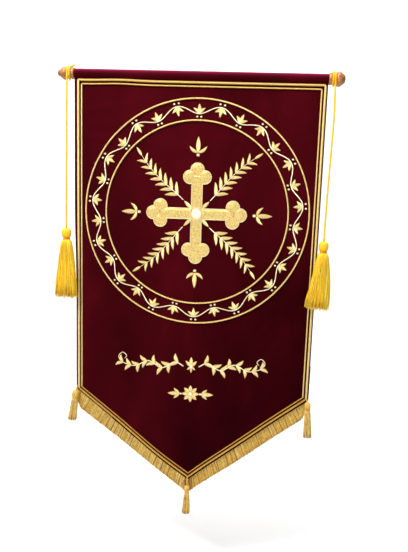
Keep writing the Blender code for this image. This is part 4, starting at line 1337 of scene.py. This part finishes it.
def make_rosette():
    """Petals round a domed middle, and three leaves on each side."""
    turns = full_turn(ROSETTE_PETALS)
    bases = ROSETTE_PLACE + 0.006 * on_unit_circle(turns)
    embroider("rosette_petals", leaf_grids(bases, turns, 0.024, 0.0145, 0.0, height=0.0032))
    embroider("rosette_middle", round_pads(ROSETTE_PLACE[None], 0.0075, 0.0045))
    hands = np.repeat([1.0, -1.0], 3)
    bases = ROSETTE_PLACE + np.stack([hands * 0.038, np.zeros(6)], axis=1)
    lean = np.tile([0.0, 0.75, -0.75], 2)
    headings = np.where(hands > 0, lean, np.pi - lean)
    lengths = np.tile([0.040, 0.026, 0.026], 2)
    embroider("rosette_leaves", leaf_grids(bases, headings, lengths, lengths * 0.40, 0.0))
    embroider("rosette_dots", berry_grids(ROSETTE_PLACE + np.array([[0.034, 0], [-0.034, 0]]), 0.0042))


make_spray()
make_rosette()

# Fringe
# Metallic gold bullion fringe on a woven heading that is sewn behind each slanted edge, so
# only the loose twisted threads show, 40 to 48 mm of them, in bundles with threads painted dark
# between them, as shade in the gaps.
FRINGE_DEPTH = {"left": 0.0482, "right": 0.0450}
# The right fringe's tone is painted a little darker than the left one's, as shade
FRINGE_SHADED_TONE = {"left": 0.66, "right": 0.62}
DEPTH_AT_POINT = 0.88
STRIP_TOP = 0.012
STRIP_BOTTOM = 0.002
STRIP_THICKNESS = 0.0024
STRIP_END_CORNER = 0.394
STRIP_END_POINT = 0.0004
LEAN_AT_CORNER = 0.75
LEAN_AT_POINT = 0.38
SEWN_GAP = 0.0004
FRINGE_THREADS = 430
FRINGE_LAYERS = 2
THREAD_RADIUS = 0.00062
# A few broad flat threads behind the others close the gaps; they are painted darker, as shade behind the
# front threads
BACK_THREADS = 200
BACK_RADIUS = 0.0021
BUNDLE_THREADS = (8, 15)
FRINGE_STOPS = [
    (0.0, "461E18"), (0.12, "7C4A3A"), (0.26, "AE7C34"), (0.50, "DAA840"), (0.76, "F0CC6C"), (1.0, "FFECAA"),
]
fringe_yarn = yarn_material(
    "metallic_gold_bullion", FRINGE_STOPS, filament_mm=1.6, bump_height=0.0003, fleck_share=0.9,
    Roughness=0.5, Specular_IOR_Level=0.2,
)


def strip_y(x, z):
    """Middle of the woven heading, just behind the cloth."""
    return cloth_back(x, np.maximum(z, lower_edge(x))) + SEWN_GAP + STRIP_THICKNESS / 2


def fringe_lines(side_name, chance, count, layer):
    """Lines of one layer of loose threads.

    A thread leaves the heading at an angle between upright and square to the edge, upright
    at both ends of the edge. It drifts a little from that angle by a product of two sines that
    its neighbours share. The fringe is deepest towards the corner and rounded off at it. The
    layer behind, number 2, is laid without chance so that it leaves no gaps."""
    side = HANGING[side_name]["side"]
    share = (np.arange(count) + 0.25 + 0.5 * (layer % 2)) / count
    x = STRIP_END_POINT + (STRIP_END_CORNER - STRIP_END_POINT) * share
    chances = 0.0 if layer == 2 else 1.0
    drift = 0.06 * np.sin(share * 31 + side) * np.sin(share * 83 + 2 * side)
    from_point = ease(0, 0.07, share)
    from_corner = ease(0, 0.11, 1 - share)
    lean = SLOPE_ANGLE * (LEAN_AT_POINT * from_point + (LEAN_AT_CORNER - LEAN_AT_POINT) * share)
    lean = (lean + (drift + chances * chance.normal(0, 0.016, count)) * from_point) * from_corner
    root_inset = (STRIP_TOP + STRIP_BOTTOM) / 2
    depth = FRINGE_DEPTH[side_name] * (DEPTH_AT_POINT + (1 - DEPTH_AT_POINT) * ease(0.0, 0.5, share))
    length = (depth + root_inset) / np.cos(SLOPE_ANGLE - lean) * (0.80 + 0.20 * from_corner)
    length = length + chances * chance.normal(0, 0.0009, count) - 0.0015 * (layer == 2)
    t = np.linspace(0, 1, 6)[None, :]
    sway = chances * chance.normal(0, 0.0005, count)[:, None] * np.sin(np.pi * t * 1.3)
    out = x[:, None] + (length * np.sin(lean))[:, None] * t + sway
    z = (lower_edge(x) + root_inset / math.cos(SLOPE_ANGLE))[:, None] - (length * np.cos(lean))[:, None] * t
    y = strip_y(np.clip(side * out, -HALF_WIDTH, HALF_WIDTH), z) + (layer - 0.5) * 0.0011
    y = y + chance.normal(0, 0.0003, count)[:, None] * t
    return np.stack([side * out, y, z], axis=-1)


def shaded_bundle_gaps(chance, count):
    """Darkness of each thread: two threads painted dark, by a random share, as shade in the gap between
    bundles of 8 to 14.
    """
    firsts = np.cumsum(chance.integers(*BUNDLE_THREADS, count // BUNDLE_THREADS[0]))
    firsts = firsts[firsts < count - 1]
    depths = 0.14 + 0.60 * chance.random(len(firsts)) ** 2
    dark = np.zeros(count)
    dark[firsts] = depths
    dark[firsts + 1] = depths
    return dark


def make_fringe(side_name, seed):
    """Heading and loose threads along one slanted edge."""
    side = HANGING[side_name]["side"]
    chance = np.random.default_rng(seed)
    lines = np.concatenate([
        fringe_lines(side_name, chance, FRINGE_THREADS, layer) for layer in range(FRINGE_LAYERS)
    ])
    grids = thread_tubes(lines, np.full(lines.shape[:2], THREAD_RADIUS))
    clump = np.convolve(chance.normal(0, 1, FRINGE_THREADS + 4), np.hanning(5), mode="valid") * 0.06
    share = np.arange(FRINGE_THREADS) / FRINGE_THREADS
    # Painted shade: threads near the point, under the middle tassel's loop, are darker
    tone = FRINGE_SHADED_TONE[side_name] + clump - 0.4 * (1 - ease(0.01, 0.04, share))
    tone = tone - shaded_bundle_gaps(chance, FRINGE_THREADS)
    tone = np.tile(tone, FRINGE_LAYERS) + chance.normal(0, 0.08, len(lines))
    t = np.linspace(0, 1, lines.shape[1])
    # A random streak along each thread, and painted light making it lighter towards its root
    along = 0.10 * np.sin(t * 19 + chance.uniform(0, 6.3, len(lines))[:, None]) + 0.16 * (1 - t) ** 2
    tones = np.broadcast_to((tone[:, None] + along)[:, :, None], grids.shape[:3])
    place_grids(
        "fringe_threads_" + side_name, grids, np.clip(tones, 0, 1), fringe_yarn, "fringe_gold",
        ["fringe_" + side_name],
    )
    backing = fringe_lines(side_name, chance, BACK_THREADS, 2)
    grids = thread_tubes(backing, np.full(backing.shape[:2], BACK_RADIUS))
    # Painted shade: the back threads are darker than the front ones
    tones = np.broadcast_to(chance.uniform(0.25, 0.6, len(backing))[:, None, None], grids.shape[:3])
    place_grids("fringe_back_threads_" + side_name, grids, tones, fringe_yarn, "fringe_gold")
    x = side * np.linspace(STRIP_END_POINT, STRIP_END_CORNER, 120)
    inset = np.linspace(STRIP_TOP, STRIP_BOTTOM, 5)[:, None]
    z = lower_edge(x)[None, :] + inset / math.cos(SLOPE_ANGLE)
    x = x + 0 * z
    grid = np.stack([x, strip_y(x, z), z], axis=-1)
    heading = place_piece(
        sheet_mesh("fringe_heading_" + side_name, grid, np.stack([x, z], axis=-1)),
        fringe_yarn,
    )
    shell = heading.modifiers.new("thickness", "SOLIDIFY")
    shell.thickness = STRIP_THICKNESS
    shell.offset = 0


make_fringe("left", 21)
make_fringe("right", 22)

# Small tassels
# Gold tassels at the three lower points: a fine loop from the border cord, a head wound with
# gold thread, and a skirt of loose bullion threads.
CORNER_TASSELS = {
    "left": {
        "x": -0.3925, "loop_x": -0.3885, "loop_z": -1.033, "head_z": -1.0530,
        "bottom": 0.107, "spread": 0.0150, "lean_deg": 7.0, "sway": -0.0010, "girth": 1.16,
    },
    "right": {
        "x": 0.3968, "loop_x": 0.3925, "loop_z": -1.033, "head_z": -1.0510,
        "bottom": 0.123, "spread": 0.0140, "lean_deg": -3.0, "sway": -0.0010, "girth": 1.02,
    },
    "centre": {
        "x": -0.0015, "loop_x": -0.0015, "loop_z": -1.347, "head_z": -1.3800,
        "bottom": 0.104, "spread": 0.0138, "lean_deg": 0.0, "sway": -0.0020, "girth": 0.90,
    },
}
LOOP_RADIUS = 0.0026
# The loop lies against the border cord as it is in the solids
LOOP_BORDER_INSET = 0.0080
LOOP_BORDER_RADIUS = 0.0042
LOOP_TOUCH = LOOP_BORDER_RADIUS + SEAT + 0.002
SMALL_HEAD = np.array([
    (-0.0010, 0.0021), (0.0002, 0.0050), (0.0030, 0.0082), (0.0080, 0.0097), (0.0150, 0.0098),
    (0.0220, 0.0091), (0.0262, 0.0083), (0.0300, 0.0081), (0.0340, 0.0080),
])
SMALL_TASSEL = {
    "ribs": 26, "rib_depth": 0.0004, "head_rows": 30, "head_shade": 0.3,
    "binding_drop": 0.0258, "wire": 0.0009, "wire_pitch": 0.003, "wire_shade_tone": 1.0,
    "threads": 230, "segments": 8, "thread_radius": 0.00062, "thinning": 0.0,
    "top": 0.0285, "shoulder": 0.0006, "flat": 0.65, "flare": 1.15,
    "wander": 0.06, "fray": 0.03, "uneven": 0.0013, "locks": 9, "ragged": 0.0010, "tone": 0.64,
}
SMALL_BINDING_REACH = 0.0086
SMALL_NECK = 0.0090


def leaned(points, pivot, lean):
    """Points turned sideways round the Y axis through a pivot."""
    away = points - pivot
    x = away[..., 0] * math.cos(lean) + away[..., 2] * math.sin(lean)
    z = -away[..., 0] * math.sin(lean) + away[..., 2] * math.cos(lean)
    return pivot + np.stack([x, away[..., 1], z], axis=-1)


def make_small_tassel(point_name, seed):
    """Loop and tassel at one lower point, leaned round the loop's upper end."""
    size = CORNER_TASSELS[point_name]
    lean = math.radians(size["lean_deg"])
    edge_x = math.copysign(HALF_WIDTH - LOOP_BORDER_INSET, size["x"]) if size["lean_deg"] else 0.0
    border_y = float(cloth_front(edge_x, size["loop_z"])) - SEWN_GAP - LOOP_BORDER_RADIUS
    y = border_y - math.sqrt(LOOP_TOUCH ** 2 - (size["x"] - edge_x) ** 2)
    pivot = np.array([size["x"], y, size["loop_z"]])
    top = np.array([size["x"], y, size["head_z"]])
    end = leaned(top, pivot, lean)
    start = np.array([size["loop_x"], y, size["loop_z"]])
    loop = smooth_route([start, start * 0.45 + end * 0.55, end - [0, 0, 0.003]], 0.0008)
    grid, lobes = twisted_tube(loop, FORWARDS, LOOP_RADIUS, 2, 0.007, 10)
    # Tone from the lobes: the loop's furrows are painted in shade and its crests as highlights
    place_grids("small_loop_" + point_name, grid, 0.8 * lobes, fringe_yarn, "fringe_gold")
    tassel = SMALL_TASSEL | size | {
        "head": SMALL_HEAD * [1, size["girth"]], "neck": SMALL_NECK * size["girth"],
        "binding_reach": SMALL_BINDING_REACH * size["girth"],
    }
    make_tassel(
        "small", point_name, tassel, top, seed, fringe_yarn, "fringe_gold", "corner_tassel_" + point_name,
        pose=lambda points: leaned(points, pivot, lean),
    )


for point_name, seed in zip(CORNER_TASSELS, (31, 32, 33)):
    make_small_tassel(point_name, seed)

# Stage
# Plain pale floor and wall with soft studio light from the upper left and above.
stage_material, stage_tree, stage_shader = start_material("pale_studio_paper", Roughness=0.9)
stage_shader.inputs["Base Color"].default_value = linear("F4F4F4")
for stage_name, corners in (
    ("studio_floor", [(-8, -6, -1.75), (8, -6, -1.75), (8, 2.2, -1.75), (-8, 2.2, -1.75)]),
    ("studio_wall", [(-8, 2.2, -1.75), (8, 2.2, -1.75), (8, 2.2, 6), (-8, 2.2, 6)]),
):
    plane = bpy.data.meshes.new(stage_name)
    plane.from_pydata(corners, [], [(0, 1, 2, 3)])
    plane.materials.append(stage_material)
    stage_piece = bpy.data.objects.new(stage_name, plane)
    bpy.context.collection.objects.link(stage_piece)


def soft_light(name, place, aim, size, power):
    """Square area light at a place, turned to its aim."""
    data = bpy.data.lights.new(name, "AREA")
    data.size = size
    data.energy = power
    lamp = bpy.data.objects.new(name, data)
    bpy.context.collection.objects.link(lamp)
    lamp.location = place
    lamp.rotation_euler = (Vector(aim) - Vector(place)).to_track_quat("-Z", "Y").to_euler()
    return lamp


soft_light("key_light", (-1.2, -1.6, 1.9), (0, 0, -0.6), 0.8, 125)
soft_light("fill_light", (1.6, -3.2, -0.3), (0, 0, -0.7), 2.0, 15)
soft_light("top_light", (-0.1, -0.30, 1.3), (0, -0.02, -0.1), 0.6, 8)
soft_light("backdrop_light", (0, 0.5, 3.4), (0, 2.0, -1.2), 4.0, 182)
world = bpy.data.worlds.new("studio_world")
world.use_nodes = True
world.node_tree.nodes["Background"].inputs["Color"].default_value = linear("FFFFFF")
world.node_tree.nodes["Background"].inputs["Strength"].default_value = 0.26
bpy.context.scene.world = world

# Colours are shown as they are, with no film curve over them
bpy.context.scene.view_settings.view_transform = "Standard"
